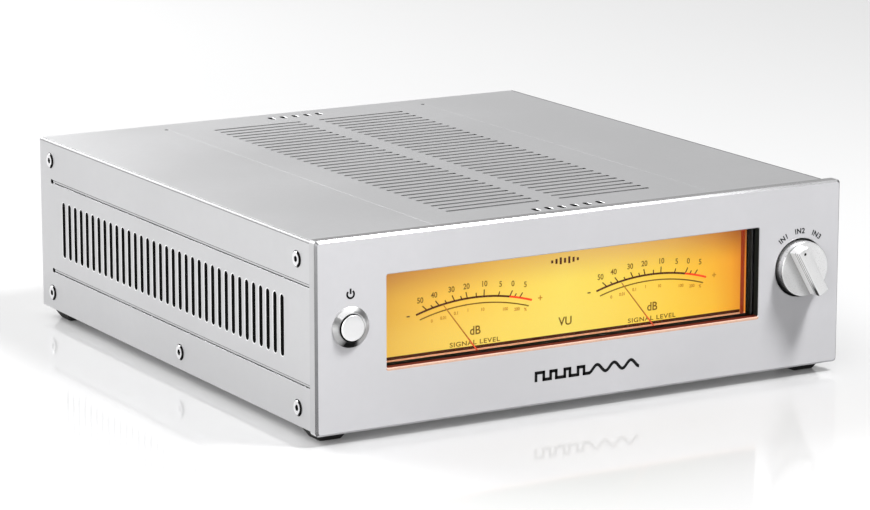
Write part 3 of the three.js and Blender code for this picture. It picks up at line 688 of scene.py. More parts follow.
def make_knob_side():
    """Turned side of the knob: satin, with painted light and shade that fall from light at the top left to black
    underneath.
    """
    m, nt, p = base_material("knob_side_painted_light_mat")
    p.inputs["Metallic"].default_value = 0.85
    tc = node(nt, "ShaderNodeTexCoord", -1800, 0)
    sep = node(nt, "ShaderNodeSeparateXYZ", -1600, 0)
    nt.links.new(tc.outputs["Object"], sep.inputs[0])
    f = math_node(nt, "ADD", math_node(nt, "DIVIDE", math_node(nt, "ARCTAN2", sep.outputs["X"], sep.outputs["Z"]), 2 * math.pi), 0.5)
    # fractions of a turn from the foot of the bar's own axis; the knob rests turned by KNOB_DEG
    q = -KNOB_DEG / 360.0
    stops = []
    for pos, v in ((0.0, 0.02), (0.04, 0.012), (0.14, 0.02), (0.20, 0.14), (0.26, 0.42), (0.33, 0.72), (0.42, 0.80), (0.62, 0.70), (0.80, 0.30), (0.92, 0.05)):
        stops.append((((pos + q) % 1.0), (v,) * 3))
    stops.sort()
    first, last = stops[0], stops[-1]
    gap = first[0] + 1.0 - last[0]
    t = (1.0 - last[0]) / gap if gap > 0 else 0.0
    join = tuple(last[1][i] * (1 - t) + first[1][i] * t for i in range(3))
    stops = [(0.0, join)] + stops + [(1.0, join)]
    painted_light_ramp = ramp(nt, f, stops)
    v = object_vec(nt, y=-500)
    cloud = noise(nt, 500.0, 3.0, 0.6, vec=v, x=-900, y=-500)
    col = mix_rgb(nt, remap(nt, cloud, 0.35, 0.7, 0.0, 0.06), painted_light_ramp, (0.5, 0.5, 0.5))
    nt.links.new(col, p.inputs["Base Color"])
    nt.links.new(remap(nt, cloud, 0.3, 0.7, 0.26, 0.32), p.inputs["Roughness"])
    bump(nt, p, cloud, 1e-6)
    return m


MAT["knob_side"] = make_knob_side()
MAT["gold"] = metal("jack_gold_mat", (0.86, 0.66, 0.28), 0.18, spots=0.06)
MAT["plated"] = metal("socket_steel_mat", (0.72, 0.72, 0.73), 0.25)
MAT["rubber"] = plastic("foot_rubber_mat", (0.012, 0.012, 0.012), 0.72, grain=1400, depth=1.5e-5, spec=0.3)
MAT["gasket"] = plastic("gasket_rubber_mat", (0.008, 0.008, 0.008), 0.8, grain=2000, depth=1e-5, spec=0.3)
MAT["housing"] = plastic("housing_black_mat", (0.012, 0.012, 0.012), 0.5)
MAT["socket"] = plastic("socket_plastic_mat", (0.015, 0.015, 0.016), 0.42)
MAT["white_insulator"] = plastic("insulator_white_mat", (0.72, 0.72, 0.70), 0.4)
MAT["red_insulator"] = plastic("insulator_red_mat", (0.52, 0.03, 0.025), 0.4)
MAT["orange_insulator"] = plastic("insulator_orange_mat", (0.65, 0.24, 0.02), 0.4)
# black standing for shade: slot and hole insides, inner faces of the case panels, screw sockets, the gaps round the
# button and the strip past the dial's right end
MAT["inside_black"] = plastic("inside_black_mat", (0.004, 0.004, 0.004), 0.85, spec=0.1, edge=False)
# grey for the top slots' long walls: painted light standing for the lit far wall
MAT["inside_grey"] = plastic("inside_grey_mat", (0.60, 0.60, 0.605), 0.6, spec=0.2, edge=False)
MAT["reveal_black"] = plastic("window_reveal_black_mat", (0.010, 0.010, 0.010), 0.45, spec=0.4, edge=False)
MAT["black_ink"] = ink("black_ink_mat", (0.006, 0.006, 0.0065))
MAT["grey_ink"] = ink("grey_ink_mat", (0.030, 0.030, 0.032))
# the dial's inks glow with it: painted backlight as emission
MAT["dial_dark"] = ink("dial_dark_ink_mat", (0.050, 0.010, 0.001), emission=0.8)
MAT["dial_olive"] = ink("dial_olive_ink_mat", (0.15, 0.072, 0.003), emission=0.5)
MAT["dial_red"] = ink("dial_red_ink_mat", (0.80, 0.05, 0.008), emission=0.6)
MAT["dial_rust"] = ink("dial_rust_ink_mat", (0.42, 0.15, 0.006), emission=0.5)
MAT["dial_salmon"] = ink("dial_salmon_ink_mat", (0.72, 0.33, 0.17), emission=0.66)
# painted glow of the dial falling on the window's lower ledge and lip: emissive tints on the aluminium
MAT["reveal_brown"] = ink("window_reveal_brown_mat", (0.040, 0.004, 0.001), emission=1.0)
MAT["reveal_pink"] = ink("window_lip_painted_glow_mat", (0.25, 0.16, 0.12), emission=0.40)
MAT["dial_border"] = ink("dial_border_ink_mat", (0.30, 0.030, 0.004), emission=0.55)
MAT["sleeve"] = plastic("capacitor_sleeve_mat", (0.02, 0.022, 0.035), 0.3, grain=500, depth=1.5e-5)
MAT["bakelite"] = plastic("tube_base_mat", (0.02, 0.016, 0.014), 0.3)


def make_dial():
    """Translucent printed sheet whose backlight is painted in as emission: brightest low in the middle, redder towards
    the ends and the top.
    """
    m, nt, p = base_material("dial_amber_painted_glow_mat")
    tc = node(nt, "ShaderNodeTexCoord", -1800, 0)
    sep = node(nt, "ShaderNodeSeparateXYZ", -1600, 0)
    nt.links.new(tc.outputs["Object"], sep.inputs[0])
    xs = remap(nt, sep.outputs["X"], -0.0915, 0.0823, 0.0, 1.0, x=-1400, y=200)
    zs = remap(nt, sep.outputs["Z"], 0.0278, 0.0649, 0.0, 1.0, x=-1400, y=-100)
    top = ramp(nt, xs, [(0.0, (0.47, 0.17, 0.042)), (0.15, (0.60, 0.26, 0.055)), (0.33, (0.74, 0.40, 0.085)), (0.5, (0.76, 0.46, 0.12)), (0.66, (0.74, 0.42, 0.14)),
                        (0.8, (0.68, 0.34, 0.09)), (0.91, (0.55, 0.20, 0.045)), (0.975, (0.33, 0.075, 0.014)), (1.0, (0.25, 0.04, 0.008))], x=-1100, y=400)
    mid = ramp(nt, xs, [(0.0, (0.70, 0.35, 0.05)), (0.06, (0.80, 0.44, 0.058)), (0.18, (0.95, 0.55, 0.07)), (0.35, (0.985, 0.68, 0.10)), (0.5, (0.98, 0.76, 0.125)), (0.62, (0.98, 0.72, 0.10)),
                        (0.8, (0.98, 0.61, 0.055)), (0.91, (0.96, 0.47, 0.028)), (0.965, (0.90, 0.35, 0.018)), (1.0, (0.74, 0.20, 0.010))], x=-1100, y=100)
    low = ramp(nt, xs, [(0.0, (0.80, 0.46, 0.075)), (0.06, (0.86, 0.53, 0.09)), (0.18, (0.94, 0.63, 0.11)), (0.35, (0.98, 0.72, 0.125)), (0.5, (0.97, 0.76, 0.14)), (0.62, (0.98, 0.72, 0.115)),
                        (0.8, (0.99, 0.63, 0.06)), (0.91, (0.97, 0.52, 0.035)), (0.965, (0.90, 0.37, 0.02)), (1.0, (0.78, 0.24, 0.012))], x=-1100, y=-200)
    f1 = node(nt, "ShaderNodeMapRange", -900, -100, interpolation_type="SMOOTHSTEP")
    f1.inputs["From Min"].default_value = 0.55
    f1.inputs["From Max"].default_value = 1.02
    nt.links.new(zs, f1.inputs["Value"])
    f0 = node(nt, "ShaderNodeMapRange", -900, -300, interpolation_type="SMOOTHSTEP")
    f0.inputs["From Min"].default_value = 0.1
    f0.inputs["From Max"].default_value = 0.6
    nt.links.new(zs, f0.inputs["Value"])
    c = mix_rgb(nt, f0.outputs["Result"], low, mid, x=-700, y=0)
    c = mix_rgb(nt, f1.outputs["Result"], c, top, x=-500, y=0)
    v = object_vec(nt, y=-700)
    cloud = noise(nt, 22.0, 2.0, 0.5, vec=v, x=-900, y=-700)
    fibre = noise(nt, 1500.0, 3.0, 0.6, vec=v, x=-900, y=-900)
    c = mix_rgb(nt, remap(nt, cloud, 0.3, 0.7, 0.0, 0.10, x=-700, y=-700), c, (0.98, 0.62, 0.10), x=-320, y=0)
    c = mix_rgb(nt, remap(nt, fibre, 0.3, 0.7, 0.0, 0.05, x=-700, y=-900), c, (0.75, 0.42, 0.05), x=-160, y=0)
    dim = mix_rgb(nt, 1.0, c, (0.06, 0.06, 0.06), x=-60, y=250, mode="MULTIPLY")
    nt.links.new(dim, p.inputs["Base Color"])
    nt.links.new(c, p.inputs["Emission Color"])
    p.inputs["Emission Strength"].default_value = 0.98
    p.inputs["Specular IOR Level"].default_value = 0.2
    nt.links.new(remap(nt, fibre, 0.3, 0.7, 0.5, 0.65, x=-200, y=-900), p.inputs["Roughness"])
    bump(nt, p, fibre, 3e-6)
    return m


def make_glass(name, colour, rough=0.0, ior=1.45, smudge=0.02):
    m, nt, p = base_material(name)
    p.inputs["Base Color"].default_value = (*colour, 1.0)
    p.inputs["Transmission Weight"].default_value = 1.0
    p.inputs["IOR"].default_value = ior
    v = object_vec(nt)
    cloud = noise(nt, 60.0, 3.0, 0.6, vec=v, x=-700, y=0)
    nt.links.new(remap(nt, cloud, 0.45, 0.75, rough, rough + smudge, x=-400, y=0), p.inputs["Roughness"])
    bump(nt, p, cloud, 2e-6)
    return m


def make_board():
    m, nt, p = base_material("circuit_board_mat")
    v = object_vec(nt)
    brick = node(nt, "ShaderNodeTexBrick", -900, 200)
    brick.inputs["Scale"].default_value = 160.0
    brick.inputs["Mortar Size"].default_value = 0.02
    brick.inputs["Color1"].default_value = (0.016, 0.10, 0.045, 1)
    brick.inputs["Color2"].default_value = (0.02, 0.13, 0.055, 1)
    brick.inputs["Mortar"].default_value = (0.05, 0.22, 0.09, 1)
    nt.links.new(v, brick.inputs["Vector"])
    fine = noise(nt, 900.0, 2.0, 0.5, vec=v, x=-900, y=-100)
    nt.links.new(brick.outputs["Color"], p.inputs["Base Color"])
    nt.links.new(remap(nt, fine, 0.3, 0.7, 0.32, 0.48, x=-500, y=-100), p.inputs["Roughness"])
    bump(nt, p, brick.outputs["Fac"], 2e-5)
    return m


def make_winding():
    """Overlapping turns of wrapping tape round a ring core."""
    m, nt, p = base_material("transformer_tape_mat")
    tc = node(nt, "ShaderNodeTexCoord", -1600, 0)
    mp = node(nt, "ShaderNodeMapping", -1400, 0)
    mp.inputs["Location"].default_value = (0.074, -0.041, 0.0)
    nt.links.new(tc.outputs["Object"], mp.inputs["Vector"])
    gr = node(nt, "ShaderNodeTexGradient", -1200, 0, gradient_type="RADIAL")
    nt.links.new(mp.outputs["Vector"], gr.inputs["Vector"])
    laps = math_node(nt, "FRACT", math_node(nt, "MULTIPLY", gr.outputs["Fac"], 42.0, x=-1000), x=-820)
    v = object_vec(nt, y=-500)
    fine = noise(nt, 700.0, 3.0, 0.6, vec=v, x=-900, y=-400)
    col = mix_rgb(nt, laps, (0.012, 0.012, 0.014), (0.03, 0.03, 0.034), x=-500, y=100)
    nt.links.new(col, p.inputs["Base Color"])
    nt.links.new(remap(nt, fine, 0.3, 0.7, 0.35, 0.5, x=-500, y=-300), p.inputs["Roughness"])
    bump(nt, p, laps, 1.5e-4)
    return m


def make_needle():
    """Lacquered blade: orange at the tip, red at the hub (lengthwise in the needle's own frame), with a painted glow as
    emission.
    """
    m, nt, p = base_material("needle_lacquer_painted_glow_mat")
    tc = node(nt, "ShaderNodeTexCoord", -1200, 0)
    sep = node(nt, "ShaderNodeSeparateXYZ", -1000, 0)
    nt.links.new(tc.outputs["Object"], sep.inputs[0])
    f = remap(nt, sep.outputs["Z"], 0.008, 0.013, 0.0, 1.0, x=-800)
    fine = noise(nt, 3000.0, 3.0, 0.6, vec=tc.outputs["Object"], x=-800, y=-300)
    col = mix_rgb(nt, f, (0.85, 0.075, 0.025), (0.42, 0.155, 0.004), x=-500, y=0)
    col = mix_rgb(nt, remap(nt, fine, 0.3, 0.7, 0.0, 0.25, x=-600, y=-300), col, (0.5, 0.05, 0.01), x=-300, y=0)
    nt.links.new(col, p.inputs["Base Color"])
    nt.links.new(col, p.inputs["Emission Color"])
    p.inputs["Emission Strength"].default_value = 0.35
    nt.links.new(remap(nt, fine, 0.3, 0.7, 0.35, 0.5, x=-600, y=-500), p.inputs["Roughness"])
    bump(nt, p, fine, 2e-6)
    return m


MAT["dial"] = make_dial()
MAT["glass"] = make_glass("window_glass_mat", (1.0, 1.0, 1.0), 0.0, 1.18, 0.01)
MAT["tube_glass"] = make_glass("tube_glass_mat", (0.97, 0.98, 0.98), 0.0, 1.3, 0.02)
MAT["board"] = make_board()
MAT["winding"] = make_winding()
MAT["needle"] = make_needle()


# --------------------------------------------------------------- front panel
def front_panel():
    b = Builder(on_front)
    w, z0, z1, c = PANEL_W / 2, Z0, Z0 + PANEL_H, CHAMFER

    def outline(o, r):
        return rrect(-w + o, w - o, z0 + o, z1 - o, r, 5)
    rings = [(outline(c, 1.0), 0.0), (outline(0.04, 1.56), c - 0.04), (outline(0.0, 1.6), c + 0.1), (outline(0.0, 1.6), PANEL_T - 2.6), (outline(0.0, 1.6), PANEL_T - 0.3), (outline(0.3, 1.3), PANEL_T)]
    o_first, o_last = b.wall(rings)

    def win(o, r):
        return rrect(WX0 - o, WX1 + o, WZ0 - o, WZ1 + o, r, 5)
    def win_lip(o, r, foot):
        return rrect(WX0 - o, WX1 + o, WZ0 - o - foot, WZ1 + o, r, 5)
    w_first, w_last = b.wall([(win_lip(0.35, 1.15, 0.75), 0.0), (win_lip(0.10, 0.9, 0.20), 0.12), (win(0.0, 0.8), 0.35), (win(0.0, 0.8), 3.4), (win(0.1, 0.8), 3.5), (win(3.0, 0.8), 3.5), (win(3.0, 0.8), PANEL_T)])
    n = 64
    h_first, h_last = b.wall([(circle(*BTN, 7.6, n), 0.0), (circle(*BTN, 7.4, n), 0.2), (circle(*BTN, 7.4, n), PANEL_T)])
    n = 96
    k_first, k_last = b.wall([(circle(*KNB, 12.4, n), 0.0), (circle(*KNB, 12.25, n), 0.06), (circle(*KNB, 12.2, n), 0.2), (circle(*KNB, 12.2, n), 2.8), (circle(*KNB, 5.3, n), 2.8), (circle(*KNB, 5.3, n), PANEL_T)])
    b.fill(o_first, [w_first, h_first, k_first])
    b.fill(o_last, [w_last, h_last, k_last])
    ob = b.object("case_front_panel", MAT["front"], "chassis", ["front_panel"], "front_aluminium", angle=20)

    # painted light and shade by face: the top chamfer and the front of the top face get the painted highlight, the rear
    # of the top face and the upright chamfers painted shade, the other edge faces a painted lighter tone
    def rule(c3, n):
        cc = Vector(c3)
        d = cc.y - YF
        if WX0 - 3.2 < cc.x < WX1 + 3.2 and WZ0 - 3.2 < cc.z < WZ1 + 3.2:
            # painted glow of the dial: the window's lower lip and the ledge above it get emissive tints
            if cc.z < WZ0 - 0.02 and 0.005 < d < 0.32:
                return 7
            if n.z > 0.5 and cc.z < WZ0 + 0.5 and 0.3 < d < 3.45:
                return 6
            if d > 0.3:
                return 4
        if math.hypot(cc.x - BTN[0], cc.z - BTN[1]) < 7.9 and d > 0.05:
            return 4
        if math.hypot(cc.x - KNB[0], cc.z - KNB[1]) < 12.5 and d > 0.15:
            return 4
        outer = abs(cc.x) > w - CHAMFER - 0.02 or cc.z > z1 - CHAMFER - 0.02 or cc.z < z0 + CHAMFER + 0.02
        if not outer or d < 0.005 or d > PANEL_T - 0.005:
            return 0
        if d < CHAMFER + 0.06:
            return 2 if abs(n.x) > 0.45 else (1 if n.z > 0 else 0)
        if cc.z > z1 - 0.5 and n.z > 0.5:
            return 8 if d > PANEL_T - 2.6 else 1
        return 3
    paint(ob, [MAT["bright_cut"], MAT["shaded_cut"], MAT["front_side"], MAT["reveal_black"], MAT["seam"], MAT["reveal_brown"], MAT["reveal_pink"], MAT["top_shade"]], rule)
    return ob


# ------------------------------------------------------------------ top cover
def top_cover():
    b = Builder(on_top)
    x = BODY_X - LIP - GAP
    y0, y1 = YF + PANEL_T + 0.1, YB

    def outline(o, side=0.0):
        return rrect(-x + o + side, x - o - side, y0 + o, y1 - o, 0.4, 3)
    o_first, o_last = b.wall([(outline(0.15), 0.0), (outline(0.05), 0.05), (outline(0.0), 0.15), (outline(0.0), TOP_T - 0.1), (outline(0.1), TOP_T)])
    firsts, lasts = [], []

    def slot(fn, e=0.12):
        f, l = b.wall([(fn(e), 0.0), (fn(0.0), e), (fn(0.0), TOP_T)])
        firsts.append(f)
        lasts.append(l)
    for y in VENT_YS:
        for u0, u1 in ((-47.5, -4.5), (5.0, 48.0)):
            slot(lambda e, y=y, u0=u0, u1=u1: [(q, p) for p, q in stadium_v(y, u0 - e, u1 + e, 1.7 + 2 * e)])
    for i in range(6):
        slot(lambda e, i=i: stadium_v(-15 + i * 6, YC - 116 - e, YC - 111 + e, 2.4 + 2 * e))
    for i in range(5):
        slot(lambda e, i=i: stadium_v(-12 + i * 6, YC + 116.5 - e, YC + 121.5 + e, 2.4 + 2 * e))
    for s in (-1, 1):
        u = s * 65.3
        key = lambda e: keyhole_v(u, y0 + 0.35, YC + 117.0, 1.4 + 2 * e, 1.1 + e)
        f, l = b.wall([(key(0.05), 0.0), (key(0.0), 0.03)])
        hf, hl = b.wall([(circle(u, YC + 117.0, 0.85, 24), 0.03), (circle(u, YC + 117.0, 0.85, 24), TOP_T)])
        b.fill(l, [hf])
        firsts.append(f)
        lasts.append(hl)
    b.fill(o_first, firsts)
    b.fill(o_last, lasts)
    ob = b.object("case_top_cover", MAT["cover"], "chassis", ["top_cover"], "cover_aluminium", angle=25)

    # painted shade on the top cover: underside, keyhole holes, slot ends, the cover's outer walls and the front and
    # rear slots in black; the keyhole rims in a darker copy
    def rule(c, n):
        d = Z_TOP - c.z
        if d > TOP_T - 0.01:
            return 1
        for s in (-1, 1):
            if math.hypot(c.x - s * 65.3, c.y - YC - 117.0) < 1.2 and d > 0.031:
                return 1
            if abs(c.x - s * 65.3) < 2.0:
                return 4 if 0.005 < d < 0.029 else 0
        for u1 in (-4.5, 48.0):
            if u1 - 1.3 < c.x < u1 + 0.3 and 0.005 < d and YC - 106 < c.y < YC + 112:
                return 1
        if d < 0.1:
            return 0
        if abs(c.x) > x - 0.5 or c.y < y0 + 0.5 or c.y > y1 - 0.5:
            return 1 if abs(c.x) > x - 0.5 else 0
        if c.y < YC - 110 or c.y > YC + 115:
            return 1
        # painted light and shade: the slot's right end is painted black, its long walls a painted lighter grey
        return 1 if n.x < -0.3 else 2
    paint(ob, [MAT["inside_black"], MAT["inside_grey"], MAT["seam"], MAT["faint"]], rule)
    return ob


# ---------------------------------------------------------------- side panels
def side_panel(s, name, cad):
    b = Builder(on_side(s))
    y0, y1 = YF + PANEL_T + 0.1, YB
    R = 1.0

    def outline(a, t):
        return [(y0 + a, Z_BOT + a), (y1 - a, Z_BOT + a), (y1 - a, Z_TOP - t), (y0 + a, Z_TOP - t)]
    rings = []
    for i in range(7):
        th = math.pi / 2 * i / 6
        d = R * (1 - math.cos(th))
        t = R * (1 - math.sin(th))
        rings.append((outline(max(0.0, 0.22 - d), t), d))
    rings += [(outline(0, 0), LIP), (outline(0, TOP_T + GAP), LIP), (outline(0, TOP_T + GAP), SIDE_T)]
    o_first, o_last = b.wall(rings)
    firsts, lasts = [], []
    for y in VENT_YS:
        fn = lambda e: stadium_v(y, 29.9 - e, 54.5 + e, 2.9 + 2 * e)
        f, l = b.wall([(fn(0.35), 0.0), (fn(0.0), 0.12), (fn(0.0), SIDE_T)])
        firsts.append(f)
        lasts.append(l)
    for z in (62.0, 22.3):
        key = lambda e: [(p, q) for q, p in keyhole_v(z, y0 + 0.45, YC + 117.0, 1.4 + 2 * e, 1.1 + e)]
        f, l = b.wall([(key(0.02), 0.0), (key(0.0), 0.02), (key(-0.02), 0.30), (key(-0.36), 0.36)])
        hf, hl = b.wall([(circle(YC + 117.0, z, 0.6, 24), 0.36), (circle(YC + 117.0, z, 0.6, 24), SIDE_T)])
        b.fill(l, [hf])
        firsts.append(f)
        lasts.append(hl)
    for dy, z in SIDE_SCREWS:
        c = (YC + dy, z)
        f, l = b.wall([(circle(*c, 3.42, 40), 0.0), (circle(*c, 3.35, 40), 0.07), (circle(*c, 3.3, 40), 0.5), (circle(*c, 1.8, 40), 2.0), (circle(*c, 1.8, 40), SIDE_T)])
        firsts.append(f)
        lasts.append(l)
    b.fill(o_first, firsts)
    b.fill(o_last, lasts)
    ob = b.object(name, MAT["side"], "chassis", [cad], "cover_aluminium", angle=25)

    # painted light and shade on the side panels: inner face, slots, screw pockets, keyhole holes and the lip's inner
    # wall black; keyhole groove walls in the groove shadow; the lip's top and the rounding below it in darker copies; a
    # painted highlight rim round each slot
    def rule(c, n):
        d = BODY_X - abs(c.x)
        if d > SIDE_T - 0.01:
            return 1
        if c.y < y0 + 0.3 or c.y > y1 - 0.3 or c.z < Z_BOT + 0.3:
            return 0
        if c.z > Z_TOP - 3.2:
            return 1 if d > LIP - 0.01 and c.z < Z_TOP - 0.01 else (4 if c.z > Z_TOP - 0.16 else (3 if c.z > Z_TOP - 0.9 else 0))
        for dy, z in SIDE_SCREWS:
            if math.hypot(c.y - YC - dy, c.z - z) < 3.6:
                return 1 if d > 0.03 else 0
        for z in (62.0, 22.3):
            if abs(c.z - z) < 1.6:
                if math.hypot(c.z - z, c.y - YC - 117.0) < 1.15 and d > 0.05:
                    return 1
                return 2 if 0.01 < d < 0.355 else 0
        if 29.0 < c.z < 55.5 and d > 0.005:
            return 5 if d < 0.11 else 1
        return 0
    paint(ob, [MAT["inside_black"], MAT["groove"], MAT["edge_round"], MAT["lip"], MAT["slot_rim"]], rule)
    return ob


# ------------------------------------------------------- rear and bottom plate
def rear_panel():
    b = Builder(on_rear)
    x = BODY_X - SIDE_T - GAP
    z0, z1 = Z_BOT + 2.3, Z_TOP - 2.3

    def outline(o):
        return rrect(-x + o, x - o, z0 + o, z1 - o, 0.5, 3)
    o_first, o_last = b.wall([(outline(0.15), -1.0), (outline(0.0), -1.15), (outline(0.0), -2.85), (outline(0.15), -3.0)])
    firsts, lasts = [], []

    def hole(fn):
        f, l = b.wall([(fn(0.15), -1.0), (fn(0.0), -1.15), (fn(0.0), -3.0)])
        firsts.append(f)
        lasts.append(l)
    hole(lambda e: rrect(88 - 13.9 - e, 88 + 13.9 + e, 40 - 10.3 - e, 40 + 10.3 + e, 0.8, 3))
    hole(lambda e: rrect(46 - 6.4 - e, 46 + 6.4 + e, 40 - 5.8 - e, 40 + 5.8 + e, 0.5, 3))
    hole(lambda e: rrect(22 - 7.1 - e, 22 + 7.1 + e, 40 - 5.8 - e, 40 + 5.8 + e, 0.5, 3))
    for jx in (0.0, -52.0, -74.0):
        hole(lambda e: circle(jx, 40.0, 4.9 + e, 40))
    for px, pz in REAR_SCREWS:
        hole(lambda e: circle(px, pz, 1.8 + e, 24))
    b.fill(o_first, firsts)
    b.fill(o_last, lasts)
    return b.object("case_rear_panel", MAT["inner_dark"], "chassis", ["rear_panel"], "inner_aluminium", angle=25)


def bottom_plate():
    b = Builder(lambda u, v, d: (u, v, Z_BOT + d))
    x = BODY_X - SIDE_T - GAP
    y0, y1 = YF + PANEL_T + GAP, YB - 0.3

    def outline(o):
        return rrect(-x + o, x - o, y0 + o, y1 - o, 0.8, 3)
    o_first, o_last = b.wall([(outline(0.2), 0.0), (outline(0.0), 0.2), (outline(0.0), 1.85), (outline(0.15), 2.0)])
    firsts, lasts = [], []

    def hole(fn, e0=0.15):
        f, l = b.wall([(fn(e0), 0.0), (fn(0.0), e0), (fn(0.0), 2.0)])
        firsts.append(f)
        lasts.append(l)
    for fx, fy in FOOT_XY.values():
        hole(lambda e: circle(fx, fy, 1.9 + e, 24))
    for i in range(9):
        hole(lambda e: stadium_v(-24 + i * 6, YC - 30 - e, YC + 20 + e, 2.4 + 2 * e))
    b.fill(o_first, firsts)
    b.fill(o_last, lasts)
    # flanges that the middle side screws bite into
    for s in (-1, 1):
        f = Builder(lambda u, v, d: (s * (x - d), u, v))
        fl = lambda o: rrect(YC - 104 + o, YC + 108 - o, Z_BOT + 1.5 + o, 20 - o, 1.2, 3)
        a0, a1 = f.wall([(fl(0.15), 0.0), (fl(0.0), 0.15), (fl(0.0), 1.85), (fl(0.15), 2.0)])
        h0, h1 = f.wall([(circle(YC - 7.9, 12.0, 1.9, 24), 0.0), (circle(YC - 7.9, 12.0, 1.9, 24), 2.0)])
        f.fill(a0, [h0])
        f.fill(a1, [h1])
        b.merge(f)
    return b.object("case_bottom_plate", MAT["inner_dark"], "chassis", ["bottom_plate"], "inner_aluminium", angle=25)


MAT["inner_dark"] = aluminium("rear_aluminium_mat", (0.62, 0.62, 0.63), 0.44, grain_depth=6e-6)

front_panel()
top_cover()
side_panel(1, "case_side_panel_right", "right_side_panel")
side_panel(-1, "case_side_panel_left", "left_side_panel")
rear_panel()
bottom_plate()

# corner posts stay the CAD's own shapes, with milled metal and a light edge break
for tag in ("front_left", "front_right", "rear_left", "rear_right"):
    ob = frame["nodes"]["post_" + tag]
    ob.data.materials.clear()
    ob.data.materials.append(MAT["inner"])


# ------------------------------------------------------------ feet and screws
def foot(tag, fx, fy):
    b = Builder(lambda u, v, d: (u, v, d))
    H = Z_BOT - 0.1

    def outline(d, o=0.0):
        t = d / H
        h = (9.5 + (15.5 - 9.5) * t) / 2 - o
        return rrect(fx - h, fx + h, fy - h, fy + h, max(0.4, 1.0 + 0.8 * t - o * 0.5), 5)
    rings = [(outline(0, 0.35), 0.0), (outline(0.1, 0.1), 0.1), (outline(0.35, 0.0), 0.35), (outline(2.0), 2.0), (outline(H - 0.25), H - 0.25), (outline(H, 0.2), H)]
    o_first, o_last = b.wall(rings)
    n = 40
    h_first, h_last = b.wall([(circle(fx, fy, 3.5, n), 0.0), (circle(fx, fy, 3.3, n), 0.2), (circle(fx, fy, 3.3, n), 2.6), (circle(fx, fy, 1.9, n), 2.6), (circle(fx, fy, 1.9, n), H)])
    b.fill(o_first, [h_first])
    b.fill(o_last, [h_last])
    ob = b.object("rubber_foot_" + tag, MAT["rubber"], "chassis", ["foot_" + tag], "foot_rubber", angle=40)
    return ob


def cross_screw(name, fx, fy, cad):
    """Pan-head screw in the foot's pocket, with a hexagon socket facing down."""
    b = Builder(lambda u, v, d: (u, v, d))
    n = 48
    rings = [(hexring(fx, fy, 1.25, n), 1.7), (hexring(fx, fy, 1.25, n), 0.66), (hexring(fx, fy, 1.33, n), 0.6), (circle(fx, fy, 2.3, n, 0.0), 0.6), (circle(fx, fy, 2.7, n, 0.0), 0.75), (circle(fx, fy, 2.9, n, 0.0), 1.1),
             (circle(fx, fy, 2.9, n, 0.0), 2.3), (circle(fx, fy, 1.5, n, 0.0), 2.3), (circle(fx, fy, 1.5, n, 0.0), 8.9), (circle(fx, fy, 1.2, n, 0.0), 9.2)]
    f, l = b.wall(rings)
    b.fan(f)
    b.fan(l)
    b.object(name, MAT["screw"], "chassis", [cad], "screw_steel", angle=30)


for tag, (fx, fy) in FOOT_XY.items():
    foot(tag, fx, fy)
    cross_screw("foot_fixing_" + tag, fx, fy, "foot_screw_" + tag)


def sunk_screw(name, s, y, z, length, cad, turn):
    """Raised-head screw with a hexagon socket, seated in the panel's sink."""
    b = Builder(lambda u, v, d: (s * (BODY_X - d), y + u, z + v))
    n = 48
    c = (0.0, 0.0)
    rings = [(hexring(0, 0, 1.05, n, turn), 1.55), (hexring(0, 0, 1.3, n, turn), 1.45), (hexring(0, 0, 1.3, n, turn), -0.43), (hexring(0, 0, 1.36, n, turn), -0.52),
             (circle(*c, 1.9, n, 0.0), -0.55), (circle(*c, 2.45, n, 0.0), -0.55), (circle(*c, 2.84, n, 0.0), -0.47), (circle(*c, 3.0, n, 0.0), -0.30), (circle(*c, 3.0, n, 0.0), 0.42), (circle(*c, 2.96, n, 0.0), 0.56), (circle(*c, 1.5, n, 0.0), 1.95)]
    d = 2.4
    k = 0
    while d < length - 0.8:
        rings.append((circle(*c, 1.5 if k % 2 == 0 else 1.3, n, 0.0), d))
        d += 0.25
        k += 1
    rings.append((circle(*c, 1.1, n, 0.0), length))
    f, l = b.wall(rings)
    b.fan(f)
    b.fan(l)
    ob = b.object(name, MAT["screw"], "chassis", [cad], "screw_steel", angle=30)
    # painted light and shade on the screw: the socket and the head's side wall black, a black crescent on the front
    # side, the raised face a painted highlight
    def rule(p, nn):
        r, dd = math.hypot(p.y - y, p.z - z), BODY_X - abs(p.x)
        if r < 1.6 and dd > -0.5:
            return 1
        if (r > 2.9 and -0.31 < dd < 0.6) or (r > 2.6 and p.y - y < -0.9 and dd < 0.6):
            return 1
        return 2 if dd < -0.2 else 0
    paint(ob, [MAT["inside_black"], MAT["screw_bright"]], rule)


for s, side in ((-1, "left"), (1, "right")):
    for i, (dy, z) in enumerate(SIDE_SCREWS):
        sunk_screw(f"case_screw_{side}_{i + 1}", s, YC + dy, z, 6.4 if i == 4 else 9.4, f"side_screw_{side}_{i + 1}", 0.3 + 0.8 * i)

for i, (px, pz) in enumerate(REAR_SCREWS):
    b = Builder(lambda u, v, d: (px + u, YB - 1.0 + d, pz + v))
    n = 48
    t = 0.2 + 0.5 * i
    rings = [(hexring(0, 0, 1.0, n, t), 0.6), (hexring(0, 0, 1.1, n, t), 0.7), (hexring(0, 0, 1.1, n, t), 1.42), (hexring(0, 0, 1.18, n, t), 1.5), (circle(0, 0, 1.7, n, 0.0), 1.48), (circle(0, 0, 2.3, n, 0.0), 1.25),
             (circle(0, 0, 2.75, n, 0.0), 0.8), (circle(0, 0, 2.9, n, 0.0), 0.35), (circle(0, 0, 2.9, n, 0.0), 0.1), (circle(0, 0, 1.5, n, 0.0), 0.1), (circle(0, 0, 1.5, n, 0.0), -7.7), (circle(0, 0, 1.2, n, 0.0), -8.0)]
    f, l = b.wall(rings)
    b.fan(f)
    b.fan(l)
    b.object(f"rear_fixing_{i + 1}", MAT["screw"], "chassis", [f"rear_screw_{i + 1}"], "screw_steel", angle=30)


